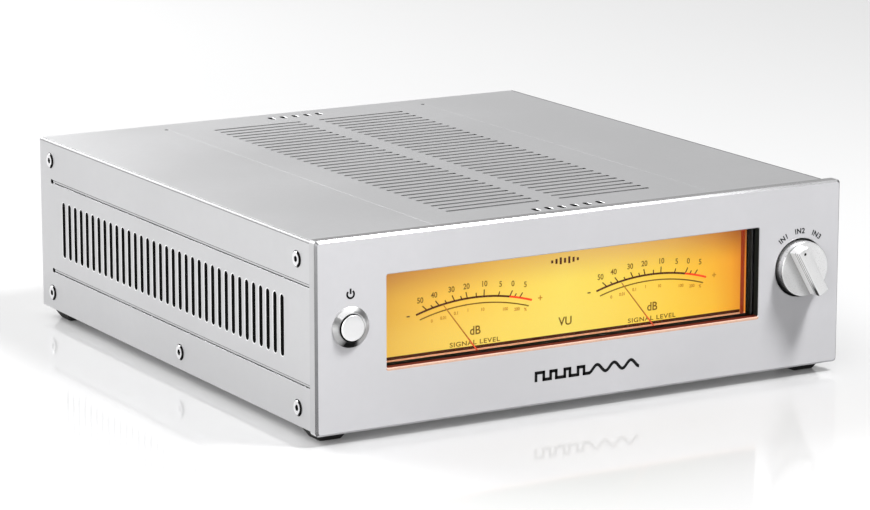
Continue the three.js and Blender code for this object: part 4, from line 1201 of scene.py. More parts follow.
# -------------------------------------------------------------- meter display
def display():
    # window pane with a tiny broken edge
    b = Builder(on_front)
    fn = lambda o: rrect(WX0 - 2.7 + o, WX1 + 2.7 - o, WZ0 - 2.7 + o, WZ1 + 2.7 - o, 0.8, 4)
    f, l = b.wall([(fn(0.15), 3.6), (fn(0.0), 3.75), (fn(0.0), 5.15), (fn(0.15), 5.3)])
    b.fill(f)
    b.fill(l)
    b.object("meter_window_pane", MAT["glass"], "chassis", ["meter_window"], "window_glass", angle=25)

    # housing: front frame with the opening, walls behind it, open at the back
    b = Builder(on_front)
    out = lambda o: rrect(WX0 - 4.5 + o, WX1 + 4.5 - o, 11.5 + o, 70.0 - o, 1.5, 4)
    cav = lambda o: rrect(WX0 - 2.5 - o, WX1 + 2.5 + o, 13.5 - o, 68.0 + o, 0.6, 4)
    win = lambda o: rrect(WX0 - o, WX1 + o, WZ0 - o, WZ1 + o, 0.8, 4)
    of, ol = b.wall([(out(0.3), 5.6), (out(0.0), 5.9), (out(0.0), 26.8), (out(0.2), 27.0)])
    wf, wl = b.wall([(win(0.25), 5.6), (win(0.0), 5.85), (win(0.0), 8.4)])
    cf, cl = b.wall([(cav(0.0), 8.4), (cav(0.0), 26.8), (cav(0.1), 27.0)])
    b.fill(of, [wf])
    b.fill(cf, [wl])
    b.fill(ol, [cl])
    b.object("meter_housing_shell", MAT["housing"], "chassis", ["meter_housing"], "housing_black", angle=25)


display()
for name, key in (("dial_plate", "dial"), ("backlight_board", "board"), ("main_board", "board"), ("power_switch", "housing"), ("rotary_switch", "housing"),
                  ("selector_gasket", "gasket"), ("selector_shaft", "shaft"), ("transformer", "winding")):
    ob = frame["nodes"][name]
    ob.data.materials.clear()
    ob.data.materials.append(MAT[key])


# dial print: thin closed strips on the face of the dial plate
DIAL_D = 10.9
PRINT_T = 0.03


def print_strip(b, centre_pts, width, d=DIAL_D):
    """A line of constant width through centre_pts, as a thin closed plate."""
    n = len(centre_pts)
    left, right = [], []
    for i in range(n):
        a = Vector(centre_pts[max(0, i - 1)])
        c = Vector(centre_pts[min(n - 1, i + 1)])
        t = (c - a).normalized()
        nn = Vector((-t.y, t.x)) * (width / 2)
        p = Vector(centre_pts[i])
        left.append((p.x + nn.x, p.y + nn.y))
        right.append((p.x - nn.x, p.y - nn.y))
    pts = left + right[::-1]
    r0 = b.ring(pts, d)
    r1 = b.ring(pts, d - PRINT_T)
    b.strip(r0, r1)
    m = len(pts)
    for r in (r0, r1):
        for i in range(n - 1):
            b.faces.append((r["i"][i], r["i"][i + 1], r["i"][m - 2 - i], r["i"][m - 1 - i]))


def arc_pts(cx, cz, radius, x0, x1, n=60):
    out = []
    for i in range(n + 1):
        x = x0 + (x1 - x0) * i / n
        out.append((x, cz + math.sqrt(radius * radius - (x - cx) ** 2)))
    return out


TEXT_CACHE = {}


def glyphs(body, font_spacing=1.0, bold=0.0):
    """Flat outline mesh of a line of text at size 1, as (verts, faces)."""
    key = (body, font_spacing, bold)
    if key in TEXT_CACHE:
        return TEXT_CACHE[key]
    cu = bpy.data.curves.new("tmp_text", "FONT")
    cu.body = body
    cu.size = 1.0
    cu.space_character = font_spacing
    cu.resolution_u = 6
    cu.offset = bold
    cu.fill_mode = "FRONT"
    ob = bpy.data.objects.new("tmp_text", cu)
    coll.objects.link(ob)
    bpy.context.view_layer.update()
    dg = bpy.context.evaluated_depsgraph_get()
    me = bpy.data.meshes.new_from_object(ob.evaluated_get(dg))
    verts = [(v.co.x, v.co.y) for v in me.vertices]
    faces = [tuple(p.vertices) for p in me.polygons]
    bpy.data.objects.remove(ob)
    bpy.data.curves.remove(cu)
    bpy.data.meshes.remove(me)
    TEXT_CACHE[key] = (verts, faces)
    return verts, faces


CAP = max(v[1] for v in glyphs("H")[0])


def text_into(b, body, cu, cv, height, d=DIAL_D, spacing=1.0, stretch=1.0, bend=None, bold=0.0, t=None):
    """Adds a line of text, centred on (cu, cv) with capitals of that height. bend = (centre u, centre v, radius, angle): set round an arc instead."""
    t = PRINT_T if t is None else t
    verts, faces = glyphs(body, spacing, bold)
    k = height / CAP
    us = [v[0] for v in verts]
    mid = (min(us) + max(us)) / 2
    pts = []
    for u, v in verts:
        du, dv = (u - mid) * k * stretch, v * k - height / 2
        if bend:
            bu, bv, br, ang = bend
            a = math.radians(ang) + du / br
            pts.append((bu + (br + dv) * math.sin(a), bv + (br + dv) * math.cos(a)))
        else:
            pts.append((cu + du, cv + dv))
    s = len(b.verts)
    n = len(pts)
    for u, v in pts:
        b.verts.append(b.to3(u, v, d))
    for u, v in pts:
        b.verts.append(b.to3(u, v, d - t))
    count = {}
    for f in faces:
        for i in range(len(f)):
            a, c = f[i], f[(i + 1) % len(f)]
            count[(a, c)] = count.get((a, c), 0) + 1
    for f in faces:
        b.faces.append(tuple(s + i for i in f))
        b.faces.append(tuple(s + n + i for i in reversed(f)))
    for (a, c) in list(count):
        if (c, a) not in count:
            b.faces.append((s + c, s + a, s + n + a, s + n + c))


def dial_print():
    dark, olive, red, rust = Builder(on_front), Builder(on_front), Builder(on_front), Builder(on_front)
    cz, R1, R2 = -38.6, 87.2, 84.66
    for cx, pivot in ((-46.17, -42.98), (37.02, 40.18)):
        red_from = cx + 16.1
        print_strip(dark, arc_pts(cx, cz, R1, cx - 26.4, red_from, 48), 0.80)
        print_strip(red, arc_pts(cx, cz, R1, red_from, cx + 26.5, 16), 0.84)
        print_strip(olive, arc_pts(cx, cz, R2, cx - 24.7, cx + 25.0, 60), 0.52)
        for ang, ln in ((-48.2, 2.8), (-44.0, 1.55), (-39.5, 2.7), (-33.5, 1.45), (-26.6, 2.7), (-20.0, 1.55), (-14.5, 2.65), (-5.2, 1.75), (2.8, 2.75), (18.1, 1.85), (29.3, 2.65), (33.8, 1.6), (38.3, 2.4)):
            a = math.radians(ang)
            dx, dz = math.sin(a), math.cos(a)
            px, pz = pivot, NEEDLE_Z
            # where the ray from the pivot meets the arc
            ox, oz = px - cx, pz - cz
            B = ox * dx + oz * dz
            C = ox * ox + oz * oz - R1 * R1
            tt = -B + math.sqrt(B * B - C)
            print_strip(dark, [(px + dx * (tt + 0.1), pz + dz * (tt + 0.1)), (px + dx * (tt + ln), pz + dz * (tt + ln))], 0.48)
        for body, ox, z in (("50", -24.5, 50.2), ("40", -18.3, 51.65), ("30", -10.4, 53.0), ("20", -3.6, 53.45), ("10", 4.77, 53.6), ("5", 12.0, 52.65), ("0", 17.7, 52.2), ("5", 23.45, 51.2)):
            text_into(olive, body, cx + ox, z, 2.15, stretch=0.92, bold=0.018)
        for body, ox, z in (("0", -19.3, 41.35), ("0.01", -14.2, 42.0), ("0.1", -8.4, 43.2), ("1", -2.9, 43.8), ("10", 3.9, 43.35), ("100", 14.3, 42.3), ("200", 19.6, 41.6), ("%", 23.5, 41.05)):
            text_into(rust, body, cx + ox, z, 1.25, stretch=0.95, bold=0.02)
        print_strip(dark, [(cx - 30.6, 44.3), (cx - 29.2, 44.3)], 0.5)
        print_strip(rust, [(cx + 29.4, 44.9), (cx + 31.4, 44.9)], 0.42)
        print_strip(rust, [(cx + 30.4, 43.9), (cx + 30.4, 45.9)], 0.42, d=DIAL_D - 0.001)
        text_into(olive, "dB", cx + 0.45, 35.3, 3.35, stretch=0.95, bold=0.016)
        text_into(olive, "SIGNAL LEVEL", cx + 0.3, 30.5, 1.75, spacing=1.12, stretch=1.3, bold=0.016)
    text_into(olive, "VU", -4.12, 34.1, 3.3, stretch=1.0, bold=0.016)
    # generic level-bar mark in the middle at the top
    for i, h in enumerate((1.2, 2.0, 2.8, 2.0, 2.8, 2.0, 1.2)):
        print_strip(dark, [(-10.3 + i * 2.0, 58.9 - h / 2), (-10.3 + i * 2.0, 58.9 + h / 2)], 1.0)
    # border lines of the print
    print_strip(dark, [(WX0 - 2.0, 28.45), (80.35, 28.45)], 1.26, d=DIAL_D - 0.002)
    salmon = Builder(on_front)
    print_strip(salmon, [(WX0 - 2.0, 27.15), (82.9, 27.15)], 1.34, d=DIAL_D - 0.003)
    salmon.object("dial_print_foot", MAT["dial_salmon"], "chassis", (), "dial_amber", weld=False)
    # the black strip past the dial's right end is painted shade
    band, black = Builder(on_front), Builder(on_front)
    print_strip(band, [(81.45, 24.0), (81.45, 67.5)], 1.9, d=DIAL_D - 0.004)
    print_strip(black, [(85.0, 24.0), (85.0, 67.5)], 3.6, d=DIAL_D - 0.004)
    band.object("dial_print_border", MAT["dial_border"], "chassis", (), "dial_amber", weld=False)
    black.object("dial_print_edge", MAT["inside_black"], "chassis", (), "dial_amber", weld=False)
    for b, key, nm in ((dark, "dial_dark", "dial_print_dark"), (olive, "dial_olive", "dial_print_brown"), (red, "dial_red", "dial_print_red"), (rust, "dial_rust", "dial_print_rust")):
        b.object(nm, MAT[key], "chassis", (), "dial_amber", weld=False)


dial_print()


# meter movements: a turned can each, with a ring groove and a centre bore on its front face
for side, (px, rest) in PIVOTS.items():
    c = (px, NEEDLE_Z)
    prof = [(1.2, 12.3), (8.6, 12.3)] + arc_profile(8.6, 12.3, 9.0, 12.7, 8.6, 12.7, 3)[1:] + [(9.0, 21.6)] + arc_profile(9.0, 21.6, 8.6, 22.0, 8.6, 21.6, 3)[1:] + [(0.0, 22.0), (0.0, 15.5), (1.2, 15.5), (1.2, 12.3)]
    prof = [(1.2, 15.5), (1.2, 12.3), (6.4, 12.3), (6.5, 12.45), (7.0, 12.45), (7.1, 12.3), (8.6, 12.3), (8.88, 12.42), (9.0, 12.7), (9.0, 21.6), (8.88, 21.88), (8.6, 22.0), (0.0, 22.0)]
    prof = [(0.0, 15.5)] + prof
    turned("meter_can_" + side, prof, c, MAT["housing"], "chassis", ["meter_movement_" + side], "housing_black", n=64)


def needle(side, px, rest):
    """Tapered blade, hub, arbor and balance weight, built about the pivot and turned to its rest angle."""
    place = Matrix.Translation(Vector((px * MM, 0.0, NEEDLE_Z * MM))) @ Matrix.Rotation(math.radians(rest), 4, "Y")
    b = Builder(lambda u, v, d: (u, YF + d, v))
    L = 30.0
    # blade: a long tapered strip with a rounded ridge, rounded at the tip
    sections = [(-4.6, 0.30), (0.0, 0.32), (8.0, 0.29), (18.0, 0.245), (27.0, 0.21), (29.2, 0.19), (29.75, 0.13), (L, 0.04)]
    rings = []
    for v, h in sections:
        s = len(b.verts)
        cross = [(-h, 9.45), (-h, 9.30), (-h * 0.55, 9.17), (h * 0.55, 9.17), (h, 9.30), (h, 9.45), (h * 0.6, 9.54), (-h * 0.6, 9.54)]
        for u, d in cross:
            b.verts.append(b.to3(u, v, d))
        rings.append(list(range(s, s + 8)))
    for p, q in zip(rings, rings[1:]):
        for k in range(8):
            b.faces.append((p[k], p[(k + 1) % 8], q[(k + 1) % 8], q[k]))
    b.faces.append(tuple(rings[0]))
    b.faces.append(tuple(reversed(rings[-1])))
    # hub and arbor
    n = 40
    prof = [(1.5, 8.92), (1.9, 8.98), (2.15, 9.15), (2.15, 9.8), (2.0, 9.9), (0.8, 9.9), (0.8, 14.9), (0.6, 15.0)]
    f, l = b.wall([(circle(0, 0, r, n), d) for r, d in prof])
    b.fan(f)
    b.fan(l)
    block(b, -1.6, 1.6, -7.3, -1.2, 9.0, 9.85, r=0.5, e=0.15)
    ob = b.object("meter_needle_" + side, MAT["needle"], "needle_" + side, ["needle_" + side], "needle_paint", angle=35, weld=False, place=place)
    return ob


for side, (px, rest) in PIVOTS.items():
    needle(side, px, rest)


# ------------------------------------------------------------------- controls
def controls():
    # polished ring round the button: flat lip on the panel, convex cone, rounded inner edge
    prof = [(8.1, -0.05), (8.08, -0.16), (7.75, -0.42), (7.3, -0.72), (6.8, -1.02), (6.3, -1.3), (5.95, -1.45), (5.75, -1.5), (5.6, -1.46), (5.52, -1.38), (5.5, -1.25), (5.5, 6.5), (7.0, 6.5), (7.0, 0.3), (7.1, 0.0), (7.0, -0.04), (8.1, -0.05)]
    prof = [(8.1, -0.05), (8.08, -0.16), (7.75, -0.42), (7.3, -0.72), (6.8, -1.02), (6.3, -1.3), (5.95, -1.45), (5.75, -1.5), (5.6, -1.46), (5.52, -1.38), (5.5, -1.25), (5.5, 6.5), (7.0, 6.5), (7.0, -0.05), (8.1, -0.05)]
    ob = turned("button_bezel_ring", prof, BTN, MAT["chrome"], "chassis", ["power_button_bezel"], "bezel_chrome", n=128, angle=40)

    # painted reflection on the ring: black at its foot, white at the upper left, and inside the opening black on part
    # of the round and white on the rest
    def rule(c, n):
        dx, dz = c.x - BTN[0], c.z - BTN[1]
        top = math.degrees(math.atan2(dx, dz))
        if math.hypot(dx, dz) < 5.53 and c.y - YF > -1.36:
            return 1 if top < -20.0 or top > 150.0 else 2
        if -52.0 < top < 6.0 and c.y - YF < -0.1 and math.hypot(dx, dz) < 7.9:
            return 2
        foot = math.degrees(math.atan2(dx, -dz))
        return 1 if -27.0 < foot < 9.0 and 5.85 < math.hypot(dx, dz) < 7.9 and c.y - YF < -0.1 else 0
    paint(ob, [MAT["inside_black"], MAT["bezel_white"]], rule)
    # push button: slightly crowned face, rounded rim, stem
    prof = [(0.0, -2.42), (1.5, -2.415), (3.0, -2.39), (4.2, -2.34), (4.6, -2.3), (4.9, -2.2), (5.08, -2.0), (5.16, -1.75), (5.2, -1.4), (5.2, 3.8), (5.0, 4.0), (2.0, 4.0), (2.0, 13.8), (1.8, 14.0), (0.0, 14.0)]
    ob = turned("power_push_button", prof, BTN, MAT["button"], "power_button", ["power_button"], "button_aluminium", n=128, angle=40)
    # painted shade: the button's side wall on its left is black, for the gap to the ring
    paint(ob, [MAT["inside_black"]], lambda c, n: 1 if math.hypot(c.x - BTN[0], c.z - BTN[1]) > 5.09 and c.y - YF > -2.1 and c.x - BTN[0] < 1.5 else 0)


controls()


def selector():
    """Knob: round skirt with a chamfered rim and a raised grip bar, made as one solid, turned to its rest angle."""
    cx, cz = KNB
    place = Matrix.Translation(Vector((cx * MM, 0.0, cz * MM))) @ Matrix.Rotation(math.radians(KNOB_DEG), 4, "Y")
    # skirt
    sk = Builder(lambda u, v, d: (u, YF + d, v))
    n = 160
    prof = [(3.3, -2.9), (3.3, 1.0), (3.45, 1.2), (11.2, 1.2), (11.4, 1.0), (11.4, -3.25), (11.36, -3.42), (11.28, -3.56), (11.14, -3.66), (10.98, -3.7)]
    f, l = sk.wall([(circle(0, 0, r, n), d) for r, d in prof])
    sk.fan(f)
    sk.fan(l)
    # bar: outline between two planes and the skirt's circle, stacked with a rounded top edge
    br = Builder(lambda u, v, d: (u, YF + d, v))
    R = 11.0

    def outline(h, rad):
        a0 = math.asin(min(1.0, h / rad))
        pts = []
        for i in range(15):
            a = -a0 + 2 * a0 * i / 14
            pts.append((rad * math.sin(a), rad * math.cos(a)))
        for i in range(15):
            a = math.pi - a0 + 2 * a0 * i / 14
            pts.append((rad * math.sin(a), rad * math.cos(a)))
        return pts
    bar = [(3.06, R, -3.0), (3.04, R, -3.7), (2.50, R, -9.2), (2.47, R, -9.6), (2.43, R - 0.05, -9.82), (2.34, R - 0.14, -9.95), (2.24, R - 0.24, -10.0)]
    f, l = br.wall([(outline(h, r), d) for h, r, d in bar])
    br.fan(f)
    br.fan(l)

    def solid(bb, nm):
        me = bpy.data.meshes.new(nm)
        me.from_pydata([tuple(c * MM for c in v) for v in bb.verts], [], bb.faces)
        bm = bmesh.new()
        bm.from_mesh(me)
        bmesh.ops.recalc_face_normals(bm, faces=bm.faces)
        bm.to_mesh(me)
        bm.free()
        o = bpy.data.objects.new(nm, me)
        coll.objects.link(o)
        return o
    dot = Builder(lambda u, v, d: (u, YF + d, v))
    f, l = dot.wall([(circle(0, 8.9, 0.62, 32), -10.4), (circle(0, 8.9, 0.62, 32), -9.7)])
    dot.fan(f)
    dot.fan(l)
    a, c, e = solid(sk, "tmp_skirt"), solid(br, "tmp_bar"), solid(dot, "tmp_dot")
    for other, op in ((c, "UNION"), (e, "DIFFERENCE")):
        m = a.modifiers.new("b", "BOOLEAN")
        m.operation = op
        m.solver = "EXACT"
        m.object = other
    bpy.context.view_layer.update()
    dg = bpy.context.evaluated_depsgraph_get()
    me = bpy.data.meshes.new_from_object(a.evaluated_get(dg))
    for o in (a, c, e):
        bpy.data.objects.remove(o)
    me.name = "selector_grip_knob"
    me.polygons.foreach_set("use_smooth", [True] * len(me.polygons))
    me.set_sharp_from_angle(angle=math.radians(30))
    ob = register(me, "selector_grip_knob", MAT["knob"], "selector", ["selector_knob"], "knob_aluminium", place)
    weighted(ob)
    paint(ob, [MAT["knob_side"]], lambda p, nn: 1 if math.hypot(p.x, p.z) > 11.3 and p.y - YF > -3.6 else 0)
    # painted bottom of the pointer dimple
    b = Builder(lambda u, v, d: (u, YF + d, v))
    f, l = b.wall([(circle(0, 8.9, 0.60, 32), -9.82), (circle(0, 8.9, 0.60, 32), -9.72)])
    b.fan(f)
    b.fan(l)
    b.object("selector_pointer_dot", MAT["black_ink"], "selector", (), "gasket_rubber", place=place)
    return ob


selector()


def panel_print():
    """Marks on the front: power symbol, three numbered inputs, and a plain wave pictogram where the case carries its description."""
    dark, grey = Builder(on_front), Builder(on_front)
    t = 0.02
    cx, cz, r = BTN[0] + 0.05, 58.95, 1.52
    arc = [(cx + r * math.sin(math.radians(a)), cz + r * math.cos(math.radians(a))) for a in range(38, 323, 12)]

    def line(b, pts, w):
        k = len(b.verts)
        print_strip(b, pts, w, d=0.0)
    line(dark, arc, 0.80)
    line(dark, [(cx, cz + 0.1), (cx, cz + 2.25)], 0.78)
    for body, ang in (("IN1", -33.8), ("IN2", -0.9), ("IN3", 32.0)):
        text_into(grey, body, 0, 0, 2.05, d=0.0, stretch=1.0, spacing=1.12, bold=0.035, bend=(KNB[0], KNB[1], 15.3, ang))
    # a pulse train that turns into a smooth wave
    lo, hi, hw = 14.35, 17.35, 0.64
    edges = [-24.0, -20.4, -17.2, -14.6, -10.6, -8.2, -4.4, -1.6, 0.6]
    level = lo
    for i, x in enumerate(edges[:-1]):
        nxt = edges[i + 1]
        level = hi if i % 2 == 0 else lo
        line(dark, [(x - hw, level), (nxt + hw, level)], 2 * hw)
        line(dark, [(x, lo - hw), (x, hi + hw)], 2 * hw)
    x0, x1, periods = 0.6, 24.6, 3
    zm, amp = (lo + hi) / 2, (hi - lo) / 2
    smooth = [(x0 + (x1 - x0) * i / 144, zm - amp * math.cos(2 * math.pi * periods * i / 144)) for i in range(145)]
    line(dark, smooth, 2 * hw)
    dark.object("front_wave_mark", MAT["black_ink"], "chassis", (), "gasket_rubber", weld=False)
    grey.object("front_control_marks", MAT["grey_ink"], "chassis", (), "gasket_rubber", weld=False)


panel_print()


# --------------------------------------------------------------- inner pieces
def standing(name, profile, x, y, mat, body, replaces, slot, n=64, angle=32.0):
    """A turned piece standing on Z."""
    b = Builder(lambda u, v, d: (x + u, y + v, d))
    first = last = None
    prev = None
    for r, z in profile:
        if r < 1e-6:
            cur = len(b.verts)
            b.verts.append((x, y, z))
        else:
            cur = b.ring(circle(0, 0, r, n), z)
        if prev is not None:
            if isinstance(prev, int) != isinstance(cur, int):
                c, rr = (prev, cur) if isinstance(prev, int) else (cur, prev)
                m = len(rr["i"])
                for k in range(m):
                    b.faces.append((rr["i"][k], rr["i"][(k + 1) % m], c))
            elif not isinstance(prev, int):
                b.strip(prev, cur)
        prev = cur
    return b.object(name, mat, body, replaces, slot, angle)


MAT["anode"] = metal("tube_anode_mat", (0.22, 0.22, 0.23), 0.4)
MAT["getter"] = metal("tube_getter_mat", (0.75, 0.75, 0.76), 0.08)
for side, x in (("left", 10.0), ("right", 44.0)):
    y = YC - 30.0
    base = [(0.0, 16.2), (10.6, 16.2), (11.0, 16.6), (11.0, 23.4), (10.6, 24.0), (9.6, 24.2), (9.5, 25.0), (0.0, 25.0)]
    standing("tube_socket_" + side, base, x, y, MAT["bakelite"], "chassis", ["tube_" + side], "tube_glass")
    glass = [(0.0, 25.2), (8.8, 25.2), (9.35, 25.8), (9.4, 26.5), (9.4, 57.0), (9.2, 59.0), (8.5, 61.0), (7.2, 62.6), (5.2, 63.7), (3.0, 64.3), (1.5, 64.9), (0.7, 65.6), (0.0, 66.0)]
    ob = standing("tube_envelope_" + side, glass, x, y, MAT["tube_glass"], "chassis", (), "tube_glass", angle=50)
    anode = [(0.0, 30.0), (5.6, 30.0), (5.6, 30.4), (5.0, 30.6), (5.0, 40.0), (5.3, 40.2), (5.3, 41.0), (5.0, 41.2), (5.0, 50.0), (7.6, 50.2), (7.6, 50.6), (0.0, 50.7)]
    standing("tube_anode_" + side, anode, x, y, MAT["anode"], "chassis", (), "shaft_steel")
    getter = [(2.0, 55.0), (3.2, 55.0), (3.2, 55.5), (2.0, 55.5), (2.0, 55.0)]
    standing("tube_getter_" + side, getter, x, y, MAT["getter"], "chassis", (), "shaft_steel")
for side, x in (("left", -18.0), ("right", 10.0)):
    y = YC + 50.0
    cap = [(0.0, 16.2), (10.6, 16.2), (11.0, 16.6), (11.0, 17.6), (10.5, 18.3), (10.5, 18.9), (11.0, 19.6), (11.0, 50.2), (10.6, 50.8), (9.8, 51.0), (9.6, 50.6), (0.0, 50.6)]
    standing("reservoir_capacitor_" + side, cap, x, y, MAT["sleeve"], "chassis", ["capacitor_" + side], "capacitor_plastic")


# --------------------------------------------------------------- rear sockets
def sockets():
    for name, cad, x, ins in (("coax_socket", "coax_jack", 0.0, "orange_insulator"), ("output_socket_left", "line_out_left", -52.0, "white_insulator"), ("output_socket_right", "line_out_right", -74.0, "red_insulator")):
        c = (x, 40.0)
        barrel = [(2.9, -14.5), (2.9, 6.6), (2.95, 6.8), (3.5, 6.8), (3.5, 7.9), (3.6, 8.0), (3.95, 8.0), (4.1, 7.92), (4.15, 7.75), (4.15, 5.9), (4.05, 5.8), (4.05, 5.5), (4.15, 5.4), (4.15, 0.7), (5.7, 0.7), (6.05, 0.6), (6.2, 0.4), (6.2, -0.7), (6.1, -0.9), (4.6, -0.9), (4.6, -3.2), (5.3, -3.2), (5.4, -3.4), (5.4, -14.8), (5.2, -15.0), (3.0, -15.0), (2.9, -14.5)]
        turned(name, barrel, c, MAT["gold"], "chassis", [cad], "jack_brass", n=96, base=YB)
        turned(name + "_insulator", [(1.65, -14.0), (2.8, -14.0), (2.8, 6.3), (2.7, 6.45), (1.8, 6.45), (1.65, 6.3), (1.65, -14.0)], c, MAT[ins], "chassis", (), "socket_plastic", n=64, base=YB)
        turned(name + "_contact", [(0.0, -10.0), (1.55, -10.0), (1.55, 6.0), (1.45, 6.15), (1.15, 6.15), (1.1, 6.0), (1.1, -2.0), (0.0, -2.0)], c, MAT["gold"], "chassis", (), "jack_brass", n=48, base=YB)

    def chamfered(u0, u1, v0, v1, c, o=0.0):
        u0, u1, v0, v1 = u0 - o, u1 + o, v0 - o, v1 + o
        return [(u0, v0), (u1, v0), (u1, v1 - c), (u1 - c, v1), (u0 + c, v1), (u0, v1 - c)]

    # data socket: plated shell with a rolled lip and a contact tongue
    x, z = 46.0, 40.0
    b = Builder(on_rear)
    out = lambda o: rrect(x - 6.05 + o, x + 6.05 - o, z - 5.45 + o, z + 5.45 - o, 0.6, 4)
    hol = lambda o: chamfered(x - 4.25, x + 4.25, z - 3.9, z + 3.9, 1.5, o)
    of, ol = b.wall([(out(0.25), 0.3), (out(0.0), 0.05), (out(0.0), -15.8), (out(0.2), -16.0)])
    hf, hl = b.wall([(hol(0.25), 0.3), (hol(0.06), 0.2), (hol(0.0), 0.0), (hol(0.0), -8.6)])
    b.fill(of, [hf])
    b.fill(hl)
    b.fill(ol)
    b.object("data_socket_shell", MAT["plated"], "chassis", ["usb_socket"], "socket_steel", angle=25)
    b = Builder(on_rear)
    block(b, x - 2.8, x + 2.8, z - 1.6, z + 1.6, -8.5, -1.2, r=0.3, e=0.25)
    b.object("data_socket_tongue", MAT["white_insulator"], "chassis", (), "socket_plastic", angle=30)
    b = Builder(on_rear)
    for s in (-1, 1):
        for dx in (-1.25, 1.25):
            block(b, x + dx - 0.55, x + dx + 0.55, z + s * 1.68 - 0.09, z + s * 1.68 + 0.09, -8.4, -1.9, r=0.05, e=0.04)
    b.object("data_socket_contacts", MAT["gold"], "chassis", (), "jack_brass", angle=30, weld=False)

    # optical socket
    x = 22.0
    b = Builder(on_rear)
    out = lambda o: rrect(x - 6.8 + o, x + 6.8 - o, z - 5.4 + o, z + 5.4 - o, 0.6, 4)
    hol = lambda o: chamfered(x - 3.3, x + 3.3, z - 3.3, z + 3.3, 1.4, o)
    of, ol = b.wall([(out(0.25), 0.3), (out(0.0), 0.05), (out(0.0), -12.8), (out(0.2), -13.0)])
    hf, hl = b.wall([(hol(0.3), 0.3), (hol(0.0), 0.0), (hol(0.0), -8.6)])
    b.fill(of, [hf])
    b.fill(hl)
    b.fill(ol)
    b.object("optical_socket_body", MAT["socket"], "chassis", ["optical_socket"], "socket_plastic", angle=25)
    turned("optical_socket_lens", [(0.0, -8.4), (1.5, -8.4), (1.6, -8.2), (1.6, -5.9), (1.4, -5.65), (1.0, -5.6), (0.95, -5.75), (0.0, -5.75)], (x, z), MAT["tube_glass"], "chassis", (), "window_glass", n=40, base=YB)

    # mains inlet: flange, chamfered recess and three blades
    x = 88.0
    b = Builder(on_rear)
    out = lambda o, r=2.5: rrect(x - 16 + o, x + 16 - o, z - 12.5 + o, z + 12.5 - o, r, 5)
    body = lambda o: rrect(x - 13.5 + o, x + 13.5 - o, z - 9.9 + o, z + 9.9 - o, 0.6, 5)
    hol = lambda o: chamfered(x - 12.2, x + 12.2, z - 8.4, z + 8.4, 4.5, o)
    of, ol = b.wall([(out(0.5, 2.0), 1.6), (out(0.12, 2.4), 1.45), (out(0.0), 1.1), (out(0.0), -0.9), (body(0.0), -0.9), (body(0.0), -21.7), (body(0.3), -22.0)])
    hf, hl = b.wall([(hol(0.45), 1.6), (hol(0.1), 1.45), (hol(0.0), 1.1), (hol(0.0), -15.0)])
    b.fill(of, [hf])
    b.fill(hl)
    b.fill(ol)
    b.object("mains_inlet_body", MAT["socket"], "chassis", ["mains_inlet"], "socket_plastic", angle=25)
    b = Builder(on_rear)
    for px, pz in ((-7.0, -2.0), (7.0, -2.0), (0.0, 2.0)):
        prof = [(-0.5, -4.2), (-0.12, -4.6), (0.0, -5.2), (0.0, -14.9)]
        rings = [(rrect(x + px - 1 - o * 0.8, x + px + 1 + o * 0.8, z + pz - 2 - o, z + pz + 2 + o, 0.25 if o > -0.3 else 0.15, 3), d) for o, d in prof]
        f, l = b.wall(rings)
        b.fill(f)
        b.fill(l)
    b.object("mains_inlet_blades", MAT["plated"], "chassis", (), "socket_steel", angle=35, weld=False)


sockets()

# ------------------------------------------------------------ floor and light
floor_me = bpy.data.meshes.new("studio_floor")
floor_me.from_pydata([(-6, -6, 0), (6, -6, 0), (6, 9, 0), (-6, 9, 0)], [], [(0, 1, 2, 3)])
floor_ob = bpy.data.objects.new("studio_floor", floor_me)
coll.objects.link(floor_ob)
fm, nt, p = base_material("studio_floor_mat")
p.inputs["Base Color"].default_value = (0.56, 0.56, 0.563, 1)
p.inputs["Roughness"].default_value = 0.07
p.inputs["IOR"].default_value = 1.40
p.inputs["Emission Color"].default_value = (1.0, 1.0, 1.0, 1)
p.inputs["Emission Strength"].default_value = 0.065
floor_me.materials.append(fm)

world = bpy.data.worlds.new("studio_world")
scene.world = world
world.use_nodes = True
wt = world.node_tree
wt.nodes.clear()
w_out = node(wt, "ShaderNodeOutputWorld", 600, 0)
w_bg = node(wt, "ShaderNodeBackground", 400, 0)
wt.links.new(w_bg.outputs[0], w_out.inputs[0])
w_bg.inputs["Color"].default_value = (1.0, 1.0, 1.0, 1)
w_tc = node(wt, "ShaderNodeTexCoord", -800, 0)
w_dir = node(wt, "ShaderNodeVectorMath", -600, 0, operation="NORMALIZE")
wt.links.new(w_tc.outputs["Generated"], w_dir.inputs[0])
w_sum = None
# soft white surroundings: brightest on the left, weaker behind and in front, dim on the right
for az_deg, el_deg, power, strength in ((180, 20, 1.0, 0.577), (90, 20, 1.0, 0.871)):
    a_, e_ = math.radians(az_deg), math.radians(el_deg)
    dp = node(wt, "ShaderNodeVectorMath", -400, 0, operation="DOT_PRODUCT")
    wt.links.new(w_dir.outputs["Vector"], dp.inputs[0])
    dp.inputs[1].default_value = (math.cos(a_) * math.cos(e_), math.sin(a_) * math.cos(e_), math.sin(e_))
    v = math_node(wt, "MULTIPLY", math_node(wt, "POWER", math_node(wt, "MAXIMUM", dp.outputs["Value"], 0.0), power), strength)
    w_sum = v if w_sum is None else math_node(wt, "ADD", w_sum, v)
wt.links.new(w_sum, w_bg.inputs["Strength"])


def area(name, loc, target, sx, sy, power, colour=(1, 1, 1)):
    li = bpy.data.lights.new(name, "AREA")
    li.shape = "RECTANGLE"
    li.size, li.size_y = sx, sy
    li.energy = power
    li.color = colour
    ob = bpy.data.objects.new(name, li)
    coll.objects.link(ob)
    ob.location = loc
    d = Vector(target) - Vector(loc)
    ob.rotation_euler = d.to_track_quat("-Z", "Y").to_euler()
    ob.visible_camera = False
    return ob


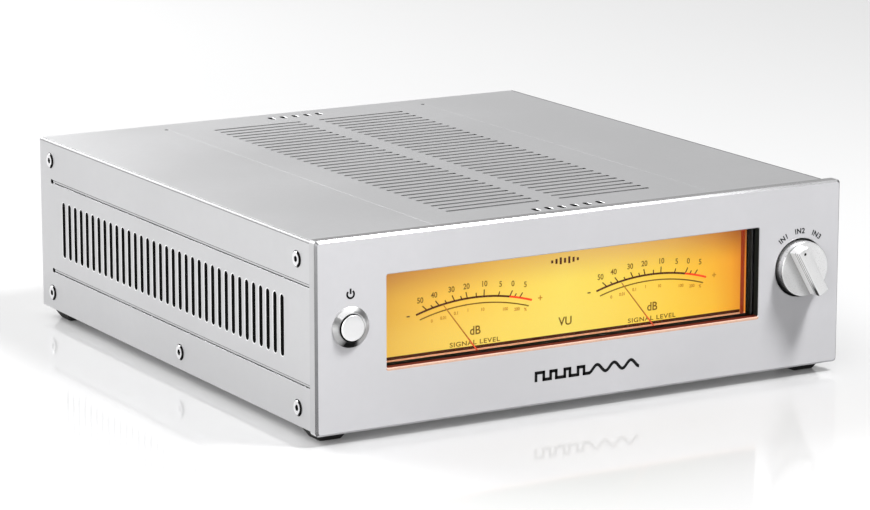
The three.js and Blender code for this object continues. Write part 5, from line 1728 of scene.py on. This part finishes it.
key = area("key_softbox", (0.42, -0.50, 1.05), (0.06, -0.1, 0.05), 0.30, 0.30, 14.5)
area("rear_panel_light", (0.0, 1.0, 0.45), (0.0, 0.0, 0.08), 0.5, 0.8, 2.2)
near = area("near_left_softbox", (-0.55, -0.55, 0.25), (-0.1, -0.1, 0.04), 0.5, 0.5, 4.2)
front = area("front_key_softbox", (0.80, -0.94, 2.25), (0.10, -0.13, 0.046), 0.42, 0.42, 180.0)
area("background_light", (-1.0, 2.2, 1.6), (-0.9, 1.8, 0.0), 1.5, 1.5, 90.0)
# the key is flagged off the top cover
for ob in coll.objects:
    if ob.name.startswith("dial_print") or ob.name == "meter_window_pane":
        ob.visible_glossy = False
frame["nodes"]["dial_plate"].visible_glossy = False
shade = bpy.data.collections.new("key_flagged_off")
shade.objects.link(bpy.data.objects["case_top_cover"])
key.light_linking.receiver_collection = shade
for co in shade.collection_objects:
    co.light_linking.link_state = "EXCLUDE"
near_off = bpy.data.collections.new("near_flagged_off")
for nm in ("case_top_cover", "button_bezel_ring"):
    near_off.objects.link(bpy.data.objects[nm])
near.light_linking.receiver_collection = near_off
for co in near_off.collection_objects:
    co.light_linking.link_state = "EXCLUDE"
only = bpy.data.collections.new("front_key_on")
only.objects.link(bpy.data.objects["case_front_panel"])
front.light_linking.receiver_collection = only

cam_data = bpy.data.cameras.new("camera")
cam_data.sensor_width = 36.0
cam_data.lens = 153.373
cam_data.clip_start = 0.05
cam_data.clip_end = 50.0
cam = bpy.data.objects.new("camera", cam_data)
coll.objects.link(cam)
az, el = math.radians(-29.958), math.radians(12.363)
backv = Vector((math.sin(az) * math.cos(el), -math.cos(az) * math.cos(el), math.sin(el)))
fwd = -backv
rightv = fwd.cross(Vector((0, 0, 1))).normalized()
upv = rightv.cross(fwd)
rot = Matrix((rightv, upv, backv)).transposed()
cam.matrix_world = Matrix.Translation(Vector((-0.768284, -1.339387, 0.376711))) @ rot.to_4x4()
scene.camera = cam
scene.view_settings.view_transform = "Standard"
